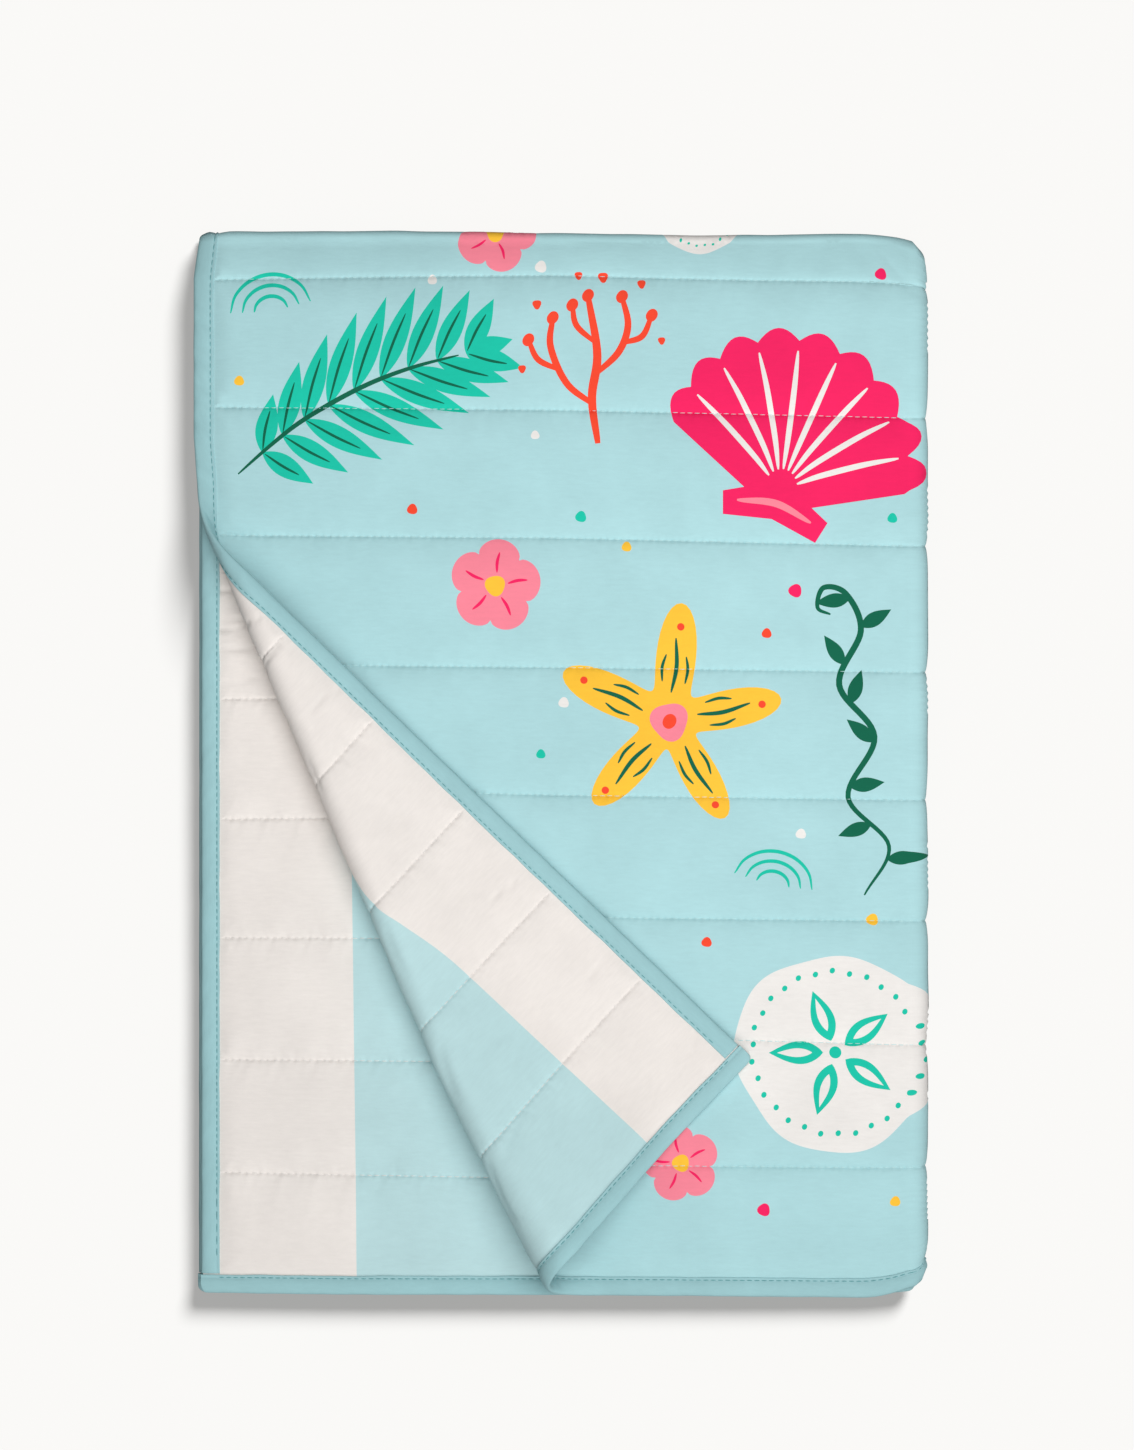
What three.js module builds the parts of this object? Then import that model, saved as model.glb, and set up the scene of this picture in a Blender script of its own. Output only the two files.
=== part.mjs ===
// A quilted throw, folded top to bottom and then side to side with its printed face out,
// and one corner of the upper layer turned back over it. Millimetres, +Z up, seen from above.
//
// The flat throw is measured in (u, v): u across from its left edge, v up from its bottom edge.
// w is the height off the middle of the cloth, towards the printed face.
import * as THREE from 'three';

// Folded stack
const LAYER_PITCH = 6.5; // from the middle of one layer to the middle of the next
const TOP_FOLD_Y = 736.9; // axis of the first fold, along the top
const RIGHT_FOLD_X = 497; // axis of the second fold, along the right side
const RIGHT_FOLD_STRETCH = 1.15; // it is this much wider than a round one
const TOP_BEND = Math.PI * LAYER_PITCH / 2; // cloth that the first fold takes up
const RIGHT_BEND = Math.PI * LAYER_PITCH; // cloth that the second fold takes up
const FLAT_WIDTH = 2 * RIGHT_FOLD_X + RIGHT_BEND;
const FLAT_LENGTH = 2 * TOP_FOLD_Y + TOP_BEND;

// Cloth thickness, each way from the middle
const GAP = 0.36; // between two pieces that are sewn together, so that 0.3 is left on the bends
const FRONT = { edge: 1.0, puff: 2.9 }; // printed panel with its filling
const BACK = { edge: 0.95, puff: 2.5 }; // striped backing
const PRESSED = 2.4; // the printed face underneath, flattened on the surface it lies on
const STACK_MIDDLE = 1.5 * LAYER_PITCH + PRESSED; // height of the middle of the stack

// Quilting: straight seams across the throw
const SEAM_COUNT = 16;
const SEAM_PITCH = 88.6;
const FIRST_SEAM_V = 90;
const PUFF_RISE = 14; // from a seam to where the filling is full

// Binding
const BINDING = { width: 12.6, wall: 0.9, overhang: 1.7, slack: 0.8 }; // slack inside its fold
const BINDING_INNER = { front: FRONT.edge + GAP, back: BACK.edge + GAP };
const EDGE_FLAT = BINDING.width; // thin margin under the binding
const EDGE_RISE = 27; // where the panel is full again

// Turned-back corner: the fold's mirror line starts on the left edge and runs down to the right
const CORNER = { startV: 536.2, angle: THREE.MathUtils.degToRad(23.1) };
const ALONG = { u: Math.sin(CORNER.angle), v: -Math.cos(CORNER.angle) };
const ACROSS = { u: -Math.cos(CORNER.angle), v: -Math.sin(CORNER.angle) };
// The roll at its tight upper end and at its open lower end
const ROLL = {
  tight: { lift: 40, radius: 10.5, over: 14, landing: 100 },
  open: { lift: 60, radius: 25, over: 20, landing: 120 },
  growsFrom: 400, // along the mirror line
  growsOver: 183,
  growth: 1.3,
};
const LIFT_ANGLE = THREE.MathUtils.degToRad(20);

// Where the seams wander off their even pitch, at four places across the throw
const SEAM_DRIFT_AT = [0, 250, RIGHT_FOLD_X, FLAT_WIDTH];
const SEAM_DRIFT = [
  { seam: 0, drift: [5, 1, -1.1, 0] },
  { seam: 1, drift: [4, 3.4, -3.6, 0] },
  { seam: 2, drift: [-1, -2.6, -5.4, 0] },
  { seam: 3, drift: [0, -5.8, -9.3, 0] },
  { seam: 4, drift: [-2.7, -5, -8.4, 0] },
  { seam: 5, drift: [-1, -3, -8.7, 0] },
  { seam: 6, drift: [0, -2, -7.6, 0] },
  { seam: 7, drift: [-0.4, 3, -1.8, 0] },
  { seam: 11, drift: [2.5, 0, 0, 0] },
  { seam: 12, drift: [-2.1, -4.4, 0, 0] },
  { seam: 13, drift: [-7.6, -7, 0, 0] },
  { seam: 14, drift: [-10.8, -9, 0, 0] },
  { seam: 15, drift: [-20.4, -16, 0, 0] },
];

// How far each layer's left edge lies to the right of the plain fold
const LEFT_EDGE = [
  { v: 500, shift: 0 },
  { v: 568, shift: 0.4 },
  { v: 600, shift: -2 },
  { v: 712, shift: -2 },
  { v: 742, shift: 2.2 },
  { v: 770, shift: 3.2 },
  { v: FLAT_LENGTH, shift: 3.2 },
];
const RIGHT_EDGE = [
  { v: 0, shift: 0.7 },
  { v: TOP_FOLD_Y, shift: 1.2 },
  { v: FLAT_LENGTH, shift: 1.5 },
];
// How far each layer's bottom edge lies above the plain fold
const BOTTOM_EDGE = [
  { u: 260, shift: 0.9 },
  { u: 340, shift: 0.4 },
  { u: RIGHT_FOLD_X, shift: -1.1 },
  { u: FLAT_WIDTH, shift: 2 },
];
const TOP_EDGE = [
  { u: 0, shift: 2.2 },
  { u: 102, shift: 0.8 },
  { u: 260, shift: 0.5 },
  { u: FLAT_WIDTH, shift: 2.2 },
];
const EDGE_FADE = 120;

// Along the top fold the stack and its filling are pressed thinner, by these shares
const TOP_PRESS = { stack: 0.2, filling: 0.5, over: 50 };

// How far the top fold stands out above a straight one
const TOP_SHAPE = [
  { u: 0, out: 0.6 },
  { u: 16, out: 2.8 },
  { u: 140, out: 3.5 },
  { u: 250, out: 2 },
  { u: 330, out: 0.4 },
  { u: 400, out: 0.2 },
  { u: 450, out: 1.4 },
  { u: 490, out: 1.4 },
  { u: 505, out: 0.8 },
];
const TOP_SHAPE_FADE = 60;

// The folded corners on the right are rounded: the hem rises there and the top drops
const CORNER_RISE = { base: 7, peak: 14, over: 120 };
const CORNER_DROP = { base: 6, peak: 14, over: 55 };
const CORNER_REACH = 34; // past the bend, towards the middle of the throw
const INNER_EASE = 0.7; // share of it that the inner layers are spared

// Lie of the stack: a slow unevenness that grows from nothing underneath
const WAVES = [
  { height: 0.45, x: 0.011, y: 0.017, phase: 0.4 },
  { height: 0.35, x: -0.019, y: 0.012, phase: 2.1 },
  { height: 0.25, x: 0.027, y: 0.031, phase: 4.0 },
];
const CENTRE = { x: 252.975, y: 369.425 }; // of the folded throw seen from above

const { clamp, lerp, degToRad } = THREE.MathUtils;

// Value of a table at a place, straight between its rows
function fromTable(rows, key, at, value) {
  const next = rows.findIndex((row) => row[key] >= at);
  if (next === 0) return value(rows[0]);
  if (next < 0) return value(rows[rows.length - 1]);
  const [a, b] = [rows[next - 1], rows[next]];
  return lerp(value(a), value(b), (at - a[key]) / (b[key] - a[key]));
}

const fade = (distance, over) => clamp(1 - distance / over, 0, 1) ** 2;

// Seams
function seamDrift(u, v) {
  const seam = (v - FIRST_SEAM_V) / SEAM_PITCH;
  const fromEdge = clamp((Math.min(v, FLAT_LENGTH - v) - EDGE_RISE) / EDGE_RISE, 0, 1);
  const fromFold = clamp((Math.abs(v - FLAT_LENGTH / 2) - TOP_BEND / 2) / TOP_BEND, 0, 1);
  const passed = SEAM_DRIFT_AT.filter((place) => place < u).length;
  const right = clamp(passed, 1, SEAM_DRIFT_AT.length - 1);
  const span = SEAM_DRIFT_AT[right] - SEAM_DRIFT_AT[right - 1];
  const across = clamp((u - SEAM_DRIFT_AT[right - 1]) / span, 0, 1);
  const at = (row) => lerp(row.drift[right - 1], row.drift[right], across);
  return fromEdge * fromFold * fromTable(SEAM_DRIFT, 'seam', seam, at);
}

// How full the filling is, from 0 at a seam or an edge to 1, and less at the top fold
function fullness(u, v) {
  const edge = Math.min(u, FLAT_WIDTH - u, v, FLAT_LENGTH - v);
  const nearest = clamp(Math.round((v - FIRST_SEAM_V) / SEAM_PITCH), 0, SEAM_COUNT - 1);
  const seam = Math.abs(v - FIRST_SEAM_V - nearest * SEAM_PITCH);
  const fromFold = Math.max(Math.abs(v - FLAT_LENGTH / 2) - TOP_BEND / 2, 0);
  const pressed = 1 - TOP_PRESS.filling * fade(fromFold, TOP_PRESS.over);
  return pressed * Math.min(
    clamp((edge - EDGE_FLAT) / (EDGE_RISE - EDGE_FLAT), 0, 1),
    clamp(seam / PUFF_RISE, 0, 1),
  );
}

// Roll of the turned-back corner, as a chain of arcs from where the cloth leaves the layer
function rollChain(along) {
  const open = clamp((along - ROLL.growsFrom) / ROLL.growsOver, 0, 1.1) ** ROLL.growth;
  const size = (key) => lerp(ROLL.tight[key], ROLL.open[key], open);
  const lift = size('lift');
  const radius = size('radius');
  const landing = size('landing');
  const over = degToRad(size('over'));
  const top = lift * (1 - Math.cos(LIFT_ANGLE)) + radius * (Math.cos(LIFT_ANGLE) + Math.cos(over));
  const drop = top - landing * (1 - Math.cos(over)) - LAYER_PITCH;
  return [
    { turn: 1 / lift, length: lift * LIFT_ANGLE },
    { turn: 1 / radius, length: radius * (Math.PI + over - LIFT_ANGLE) },
    { turn: 0, length: drop / Math.sin(over) },
    { turn: -1 / landing, length: landing * over },
  ];
}

// Place, height and slope after a length of a chain of arcs
function follow(chain, length) {
  const end = { out: 0, up: 0, slope: 0 };
  let left = length;
  for (const { turn, length: reach } of chain) {
    const step = clamp(left, 0, reach);
    const slope = end.slope + turn * step;
    if (turn) {
      end.out += (Math.sin(slope) - Math.sin(end.slope)) / turn;
      end.up += (Math.cos(end.slope) - Math.cos(slope)) / turn;
    } else {
      end.out += step * Math.cos(slope);
      end.up += step * Math.sin(slope);
    }
    end.slope = slope;
    left -= step;
  }
  end.out -= left; // past the roll the cloth runs straight back
  return end;
}

const chainLength = (chain) => chain.reduce((sum, part) => sum + part.length, 0);

// Distance from the mirror line to where the roll starts, so that past it the corner is mirrored
function rollStart(chain) {
  const length = chainLength(chain);
  return -(length + follow(chain, length).out) / 2;
}

// The corner turned back, in the upper layer's own plane
function turnCorner(u, v, w) {
  const along = u * ALONG.u + (v - CORNER.startV) * ALONG.v;
  const across = u * ACROSS.u + (v - CORNER.startV) * ACROSS.v;
  const chain = rollChain(along);
  const start = rollStart(chain);
  if (across <= start) return { x: u, y: v, up: w };
  const { out, up, slope } = follow(chain, across - start);
  const from = start + out - w * Math.sin(slope);
  return {
    x: along * ALONG.u + from * ACROSS.u,
    y: CORNER.startV + along * ALONG.v + from * ACROSS.v,
    up: up + w * Math.cos(slope),
  };
}

// Small shifts of the edges, before folding
function trimmed(u, v) {
  const shift = (row) => row.shift;
  const left = fromTable(LEFT_EDGE, 'v', v, shift) * fade(u, EDGE_FADE);
  const right = fromTable(RIGHT_EDGE, 'v', v, shift) * fade(FLAT_WIDTH - u, EDGE_FADE);
  const bottom = fromTable(BOTTOM_EDGE, 'u', u, shift) * fade(v, EDGE_FADE);
  const top = fromTable(TOP_EDGE, 'u', u, shift) * fade(FLAT_LENGTH - v, EDGE_FADE);
  return { u: u + left - right, v: v + bottom - top };
}

// How far the folded corners on the right draw in, less on the inner layers
function cornerPull(u, y, topAngle) {
  const fromFold = Math.abs(u - RIGHT_FOLD_X - RIGHT_BEND / 2) / (RIGHT_BEND / 2);
  const outside = fade((fromFold - 1) * RIGHT_BEND / 2, CORNER_REACH);
  const amount = ({ base, peak }) => base * outside + peak * clamp(1 - fromFold, 0, 1) ** 2;
  const up = amount(CORNER_RISE) * fade(y, CORNER_RISE.over);
  const down = amount(CORNER_DROP) * fade(TOP_FOLD_Y - y, CORNER_DROP.over);
  return (up - down) * (1 - INNER_EASE * topAngle / Math.PI);
}

// A point of the flat cloth, where it lies in the folded throw
function folded(flatU, flatV, w) {
  const { u, v } = trimmed(flatU, flatV);
  let { x, y, up } = turnCorner(u, v, w);
  const topAngle = clamp((v - TOP_FOLD_Y) / TOP_BEND, 0, 1) * Math.PI;
  let height = LAYER_PITCH / 2 + up; // above the middle of the two layers of the first fold
  if (topAngle > 0) {
    y = TOP_FOLD_Y + height * Math.sin(topAngle) - Math.max(v - TOP_FOLD_Y - TOP_BEND, 0);
    height *= Math.cos(topAngle);
  }
  const shape = fromTable(TOP_SHAPE, 'u', u, (row) => row.out) * fade(TOP_FOLD_Y - y, TOP_SHAPE_FADE);
  y += cornerPull(u, y, topAngle) + shape;
  const rightAngle = clamp((x - RIGHT_FOLD_X) / RIGHT_BEND, 0, 1) * Math.PI;
  let z = LAYER_PITCH + height; // above the middle of the stack
  if (rightAngle > 0) {
    x = RIGHT_FOLD_X + RIGHT_FOLD_STRETCH * z * Math.sin(rightAngle)
      - Math.max(x - RIGHT_FOLD_X - RIGHT_BEND, 0);
    z *= Math.cos(rightAngle);
  }
  z += STACK_MIDDLE;
  const share = clamp(z / (2 * STACK_MIDDLE), 0, 1) ** 2;
  for (const wave of WAVES) {
    z += share * wave.height * Math.sin(wave.x * x + wave.y * y + wave.phase);
  }
  z *= 1 - TOP_PRESS.stack * fade(TOP_FOLD_Y - y, TOP_PRESS.over);
  return [x - CENTRE.x, y - CENTRE.y, z];
}

// Rows and columns across a bend, and the rows added where the left edge goes round the roll
const BEND_STEPS = 4;
const PRESS_ROW = 18; // past the middle of the top fold, where the next seam is far
const ROLL_ROWS = { afterSeams: [3, 4, 5], shares: [0.34, 0.5, 0.66] };

// Rows of the panels, up the flat throw
function makeRows() {
  const rows = [0, EDGE_FLAT, EDGE_RISE];
  for (let seam = 0; seam < SEAM_COUNT; seam++) {
    const v = FIRST_SEAM_V + seam * SEAM_PITCH;
    rows.push(v - PUFF_RISE, v, v + PUFF_RISE);
  }
  for (let step = 0; step <= BEND_STEPS; step++) {
    rows.push(TOP_FOLD_Y + TOP_BEND * step / BEND_STEPS);
  }
  rows.push(FLAT_LENGTH / 2 + PRESS_ROW);
  for (const margin of [EDGE_RISE, EDGE_FLAT, 0]) rows.push(FLAT_LENGTH - margin);
  for (const seam of ROLL_ROWS.afterSeams) {
    const v = FIRST_SEAM_V + seam * SEAM_PITCH;
    for (const share of ROLL_ROWS.shares) rows.push(v + share * SEAM_PITCH);
  }
  return rows.sort((a, b) => a - b);
}

// Columns of the panels: straight ones, and ones that follow the roll where it crosses the row.
// Each of those is named by how many arcs of the roll lie before it, and how much of the next one.
const ROLL_COLUMNS = [
  { arcs: 4, share: 0 },
  { arcs: 3, share: 0 },
  { arcs: 2, share: 0 },
  { arcs: 1, share: 0.75 },
  { arcs: 1, share: 0.5 },
  { arcs: 1, share: 0.25 },
  { arcs: 1, share: 0 },
  { arcs: 0, share: 0 },
];
// Above the roll these columns keep apart by a small step, which widens up the throw
const COLUMN_STEP = { narrow: 6, wide: 48, narrowUpto: 550, wideFrom: 620 };
const ROLL_PASSES = 8; // rounds in which a column on the roll settles

function rollColumn({ arcs, share }, place, v) {
  let u = 0;
  for (let pass = 0; pass < ROLL_PASSES; pass++) {
    const chain = rollChain(u * ALONG.u + (v - CORNER.startV) * ALONG.v);
    const whole = chainLength(chain.slice(0, arcs));
    const across = rollStart(chain) + whole + share * (chain[arcs]?.length ?? 0);
    u = (across - (v - CORNER.startV) * ACROSS.v) / ACROSS.u;
  }
  const { narrow, wide, narrowUpto, wideFrom } = COLUMN_STEP;
  const step = lerp(narrow, wide, clamp((v - narrowUpto) / (wideFrom - narrowUpto), 0, 1));
  return Math.max(u, EDGE_RISE + (place + 1) * step);
}

function makeColumns(v) {
  const roll = ROLL_COLUMNS.map((column, place) => rollColumn(column, place, v));
  const columns = [0, EDGE_FLAT, EDGE_RISE, ...roll, (roll.at(-1) + RIGHT_FOLD_X) / 2];
  for (let step = 0; step <= BEND_STEPS; step++) {
    columns.push(RIGHT_FOLD_X + RIGHT_BEND * step / BEND_STEPS);
  }
  columns.push((RIGHT_FOLD_X + RIGHT_BEND + FLAT_WIDTH) / 2);
  for (const margin of [EDGE_RISE, EDGE_FLAT, 0]) columns.push(FLAT_WIDTH - margin);
  return columns;
}

const ROWS = makeRows();
const COLUMN_COUNT = makeColumns(0).length;

// A closed mesh from corner points and faces of three or four corners
function closedGeometry(points, faces) {
  const index = faces.flatMap(([a, b, c, d]) => (d === undefined ? [a, b, c] : [a, b, c, a, c, d]));
  const geometry = new THREE.BufferGeometry();
  geometry.setAttribute('position', new THREE.Float32BufferAttribute(points.flat(), 3));
  geometry.setIndex(index);
  return geometry;
}

// A panel between two heights off the middle of the cloth, each a function of (u, v)
function panelGeometry(upper, lower) {
  const points = [];
  const faces = [];
  const at = (side, row, column) => (side * ROWS.length + row) * COLUMN_COUNT + column;
  for (const height of [lower, upper]) {
    for (const v of ROWS) {
      for (const u of makeColumns(v)) points.push(folded(u, v + seamDrift(u, v), height(u, v)));
    }
  }
  for (let row = 1; row < ROWS.length; row++) {
    for (let column = 1; column < COLUMN_COUNT; column++) {
      const corners = [[row - 1, column - 1], [row - 1, column], [row, column], [row, column - 1]];
      const [first, second, third, fourth] = corners;
      faces.push([first, second, third, fourth].map(([r, c]) => at(1, r, c)));
      faces.push([first, fourth, third, second].map(([r, c]) => at(0, r, c)));
    }
  }
  const rim = [];
  for (let column = 0; column < COLUMN_COUNT; column++) rim.push([0, column]);
  for (let row = 1; row < ROWS.length; row++) rim.push([row, COLUMN_COUNT - 1]);
  for (let column = COLUMN_COUNT - 2; column >= 0; column--) rim.push([ROWS.length - 1, column]);
  for (let row = ROWS.length - 2; row > 0; row--) rim.push([row, 0]);
  rim.forEach(([r, c], place) => {
    const [nextR, nextC] = rim[(place + 1) % rim.length];
    faces.push([at(0, r, c), at(0, nextR, nextC), at(1, nextR, nextC), at(1, r, c)]);
  });
  return closedGeometry(points, faces);
}

// The binding's section: distance in from the cloth's edge, and height off its middle
const BINDING_SECTION = [
  [BINDING.width, BINDING_INNER.front + BINDING.wall],
  [-BINDING.overhang / 2, BINDING_INNER.front + BINDING.wall],
  [-BINDING.overhang, 0],
  [-BINDING.overhang / 2, -BINDING_INNER.back - BINDING.wall],
  [BINDING.width, -BINDING_INNER.back - BINDING.wall],
  [BINDING.width, -BINDING_INNER.back],
  [0, -BINDING_INNER.back],
  [-BINDING.slack, -BINDING_INNER.back],
  [-BINDING.slack, BINDING_INNER.front],
  [0, BINDING_INNER.front],
  [BINDING.width, BINDING_INNER.front],
];

// A binding strip: its section at each station, with a face at each end.
// Its faces are split the same way as the panels' under it, which depends on the side it is on.
function bindingGeometry(stations, place, onLowSide) {
  const size = BINDING_SECTION.length;
  const points = [];
  const faces = [];
  for (const station of stations) {
    for (const [inward, height] of BINDING_SECTION) points.push(place(station, inward, height));
  }
  for (let station = 1; station < stations.length; station++) {
    for (let corner = 0; corner < size; corner++) {
      const next = (corner + 1) % size;
      const [here, before] = [station * size, (station - 1) * size];
      const inwards = BINDING_SECTION[next][0] >= BINDING_SECTION[corner][0];
      const face = [before + corner, before + next, here + next, here + corner];
      faces.push(inwards === onLowSide ? face : [...face.slice(1), face[0]]);
    }
  }
  const outline = BINDING_SECTION.map(([inward, height]) => new THREE.Vector2(inward, height));
  const last = (stations.length - 1) * size;
  for (const face of THREE.ShapeUtils.triangulateShape(outline, [])) {
    faces.push([...face].reverse());
    faces.push(face.map((corner) => corner + last));
  }
  return closedGeometry(points, faces);
}

// Side strips stop at the strips along the top and bottom, which run right across
function sideBinding(onLeft) {
  const end = BINDING.width + GAP;
  const inner = ROWS.filter((v) => v > EDGE_FLAT && v < FLAT_LENGTH - EDGE_FLAT);
  const stations = [end, ...inner, FLAT_LENGTH - end];
  return bindingGeometry(stations, (v, inward, height) => {
    const u = onLeft ? inward : FLAT_WIDTH - inward;
    return folded(u, v + seamDrift(u, v), height);
  }, onLeft);
}

function endBinding(onBottom) {
  const stations = Array.from({ length: COLUMN_COUNT }, (_, column) => column);
  return bindingGeometry(stations, (column, inward, height) => {
    const v = onBottom ? inward : FLAT_LENGTH - inward;
    const overhang = { [0]: -BINDING.overhang, [COLUMN_COUNT - 1]: BINDING.overhang };
    return folded(makeColumns(v)[column] + (overhang[column] ?? 0), v, height);
  }, onBottom);
}

// Turns a strip that came out inside out
function facingOut(geometry) {
  const corners = geometry.toNonIndexed().getAttribute('position');
  const [a, b, c] = [new THREE.Vector3(), new THREE.Vector3(), new THREE.Vector3()];
  let volume = 0;
  for (let corner = 0; corner < corners.count; corner += 3) {
    a.fromBufferAttribute(corners, corner);
    b.fromBufferAttribute(corners, corner + 1);
    c.fromBufferAttribute(corners, corner + 2);
    volume += a.dot(b.cross(c));
  }
  if (volume < 0) geometry.setIndex([...geometry.index.array].reverse());
  return geometry;
}

// On the layer that lies underneath, the printed face is pressed flat
const liesUnder = (u, v) => u > RIGHT_FOLD_X + RIGHT_BEND / 2 && v <= TOP_FOLD_Y;

function frontHeight(u, v) {
  const height = lerp(FRONT.edge, FRONT.puff, fullness(u, v));
  return liesUnder(u, v) ? Math.min(height, PRESSED) : height;
}

const backHeight = (u, v) => -lerp(BACK.edge, BACK.puff, fullness(u, v));

const COLOURS = { print: 0xa6d2d3, backing: 0xede5e1, binding: 0xa0c9ca };

function piece(name, geometry, color) {
  geometry.computeVertexNormals();
  const material = new THREE.MeshStandardMaterial({ color, roughness: 0.85, metalness: 0 });
  const mesh = new THREE.Mesh(geometry, material);
  mesh.name = name;
  return mesh;
}

const throwGroup = new THREE.Group();
throwGroup.add(
  piece('front_panel', panelGeometry(frontHeight, () => GAP / 2), COLOURS.print),
  piece('back_panel', panelGeometry(() => -GAP / 2, backHeight), COLOURS.backing),
  piece('binding_left', facingOut(sideBinding(true)), COLOURS.binding),
  piece('binding_right', facingOut(sideBinding(false)), COLOURS.binding),
  piece('binding_bottom', facingOut(endBinding(true)), COLOURS.binding),
  piece('binding_top', facingOut(endBinding(false)), COLOURS.binding),
);

export default throwGroup;
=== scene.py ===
# The folded quilted throw, dressed: finer cloth on the same folds as part.mjs, its print and stitches.
# Millimetres until a mesh is made, +Z up. The flat throw is measured in (u, v): u across from its
# left edge, v up from its bottom edge. w is the height off the middle of the cloth, towards the print.
import math
import bpy
import numpy as np
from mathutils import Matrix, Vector
from mathutils.geometry import delaunay_2d_cdt


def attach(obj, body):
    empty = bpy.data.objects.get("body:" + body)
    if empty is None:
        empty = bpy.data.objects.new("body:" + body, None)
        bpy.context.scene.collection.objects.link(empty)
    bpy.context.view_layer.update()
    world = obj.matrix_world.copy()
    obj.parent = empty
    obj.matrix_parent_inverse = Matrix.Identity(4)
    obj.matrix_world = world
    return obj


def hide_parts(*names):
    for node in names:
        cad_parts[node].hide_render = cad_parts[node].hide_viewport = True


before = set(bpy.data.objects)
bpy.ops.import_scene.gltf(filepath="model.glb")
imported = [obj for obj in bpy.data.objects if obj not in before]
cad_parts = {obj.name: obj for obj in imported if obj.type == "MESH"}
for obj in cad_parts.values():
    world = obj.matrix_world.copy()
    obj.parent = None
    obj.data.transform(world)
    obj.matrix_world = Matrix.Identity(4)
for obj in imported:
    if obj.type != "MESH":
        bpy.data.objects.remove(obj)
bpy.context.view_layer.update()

# Folded stack, as in part.mjs
LAYER_PITCH = 6.5
TOP_FOLD_Y = 736.9
RIGHT_FOLD_X = 497.0
RIGHT_FOLD_STRETCH = 1.15
TOP_BEND = math.pi * LAYER_PITCH / 2
RIGHT_BEND = math.pi * LAYER_PITCH
FLAT_WIDTH = 2 * RIGHT_FOLD_X + RIGHT_BEND
FLAT_LENGTH = 2 * TOP_FOLD_Y + TOP_BEND
GAP = 0.36
FRONT_EDGE, FRONT_PUFF = 1.0, 3.0
BACK_EDGE, BACK_PUFF = 0.95, 2.6
PRESSED = 2.4
STACK_MIDDLE = 1.5 * LAYER_PITCH + PRESSED
STACK_HEIGHT = 24.0
SEAM_COUNT = 16
SEAM_PITCH = 88.6
FIRST_SEAM_V = 90.0
EDGE_RISE = 27.0
BINDING_WIDTH = 12.6
CORNER_START_V = 536.2
CORNER_ANGLE = math.radians(23.1)
ALONG = (math.sin(CORNER_ANGLE), -math.cos(CORNER_ANGLE))
ACROSS = (-math.cos(CORNER_ANGLE), -math.sin(CORNER_ANGLE))
ROLL_TIGHT = {"lift": 40.0, "radius": 10.5, "over": 14.0, "landing": 100.0}
ROLL_OPEN = {"lift": 60.0, "radius": 25.0, "over": 20.0, "landing": 120.0}
ROLL_GROWS_FROM, ROLL_GROWS_OVER, ROLL_GROWTH = 400.0, 183.0, 1.3
LIFT_ANGLE = math.radians(20)
SEAM_DRIFT_AT = (0.0, 250.0, RIGHT_FOLD_X, FLAT_WIDTH)
SEAM_DRIFT = {
    0: (5, 1, -1.1, 0),
    1: (4, 3.4, -3.6, 0),
    2: (-1, -2.6, -5.4, 0),
    3: (0, -5.8, -9.3, 0),
    4: (-2.7, -5, -8.4, 0),
    5: (-1, -3, -8.7, 0),
    6: (0, -2, -7.6, 0),
    7: (-0.4, 3, -1.8, 0),
    11: (2.5, 0, 0, 0),
    12: (-2.1, -4.4, 0, 0),
    13: (-7.6, -7, 0, 0),
    14: (-10.8, -9, 0, 0),
    15: (-20.4, -16, 0, 0),
}
LEFT_EDGE = {500: 0, 568: 0.4, 600: -2, 712: -2, 742: 2.2, 770: 3.2}
RIGHT_EDGE = {0: 0.7, TOP_FOLD_Y: 1.2, FLAT_LENGTH: 1.5}
BOTTOM_EDGE = {260: 0.9, 340: 0.4, RIGHT_FOLD_X: -1.1, FLAT_WIDTH: 2}
TOP_EDGE = {0: 2.2, 102: 0.8, 260: 0.5, FLAT_WIDTH: 2.2}
EDGE_FADE = 120.0
STACK_PRESS, FILLING_PRESS, PRESS_OVER = 0.2, 0.5, 50.0
TOP_SHAPE = {0: 0.6, 16: 2.8, 140: 3.5, 250: 2, 330: 0.4, 400: 0.2, 450: 1.4, 490: 1.4, 505: 0.8}
TOP_SHAPE_FADE = 60.0
CORNER_RISE = {"base": 7.0, "peak": 14.0, "over": 120.0}
CORNER_DROP = {"base": 6.0, "peak": 14.0, "over": 55.0}
CORNER_REACH = 34.0
INNER_EASE = 0.7
WAVES = ((0.45, 0.011, 0.017, 0.4), (0.35, -0.019, 0.012, 2.1), (0.25, 0.027, 0.031, 4.0))
CENTRE = (252.975, 369.425)

# Sewing: STITCH_START is how far past its mark a stitch begins
STITCH_PITCH = 5.1
STITCH_LENGTH = 4.1
STITCH_START = 0.5
THREAD_RADIUS = 0.3

# The photo: millimetres of cloth for each pixel, its height in pixels, and where its middle falls
MM_PER_PIXEL = 0.70
PHOTO_HEIGHT = 1450
VIEW_CENTRE = (5.3, 29.6)
CAMERA_HEIGHT = 5.0
SENSOR_WIDTH = 36.0

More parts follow.
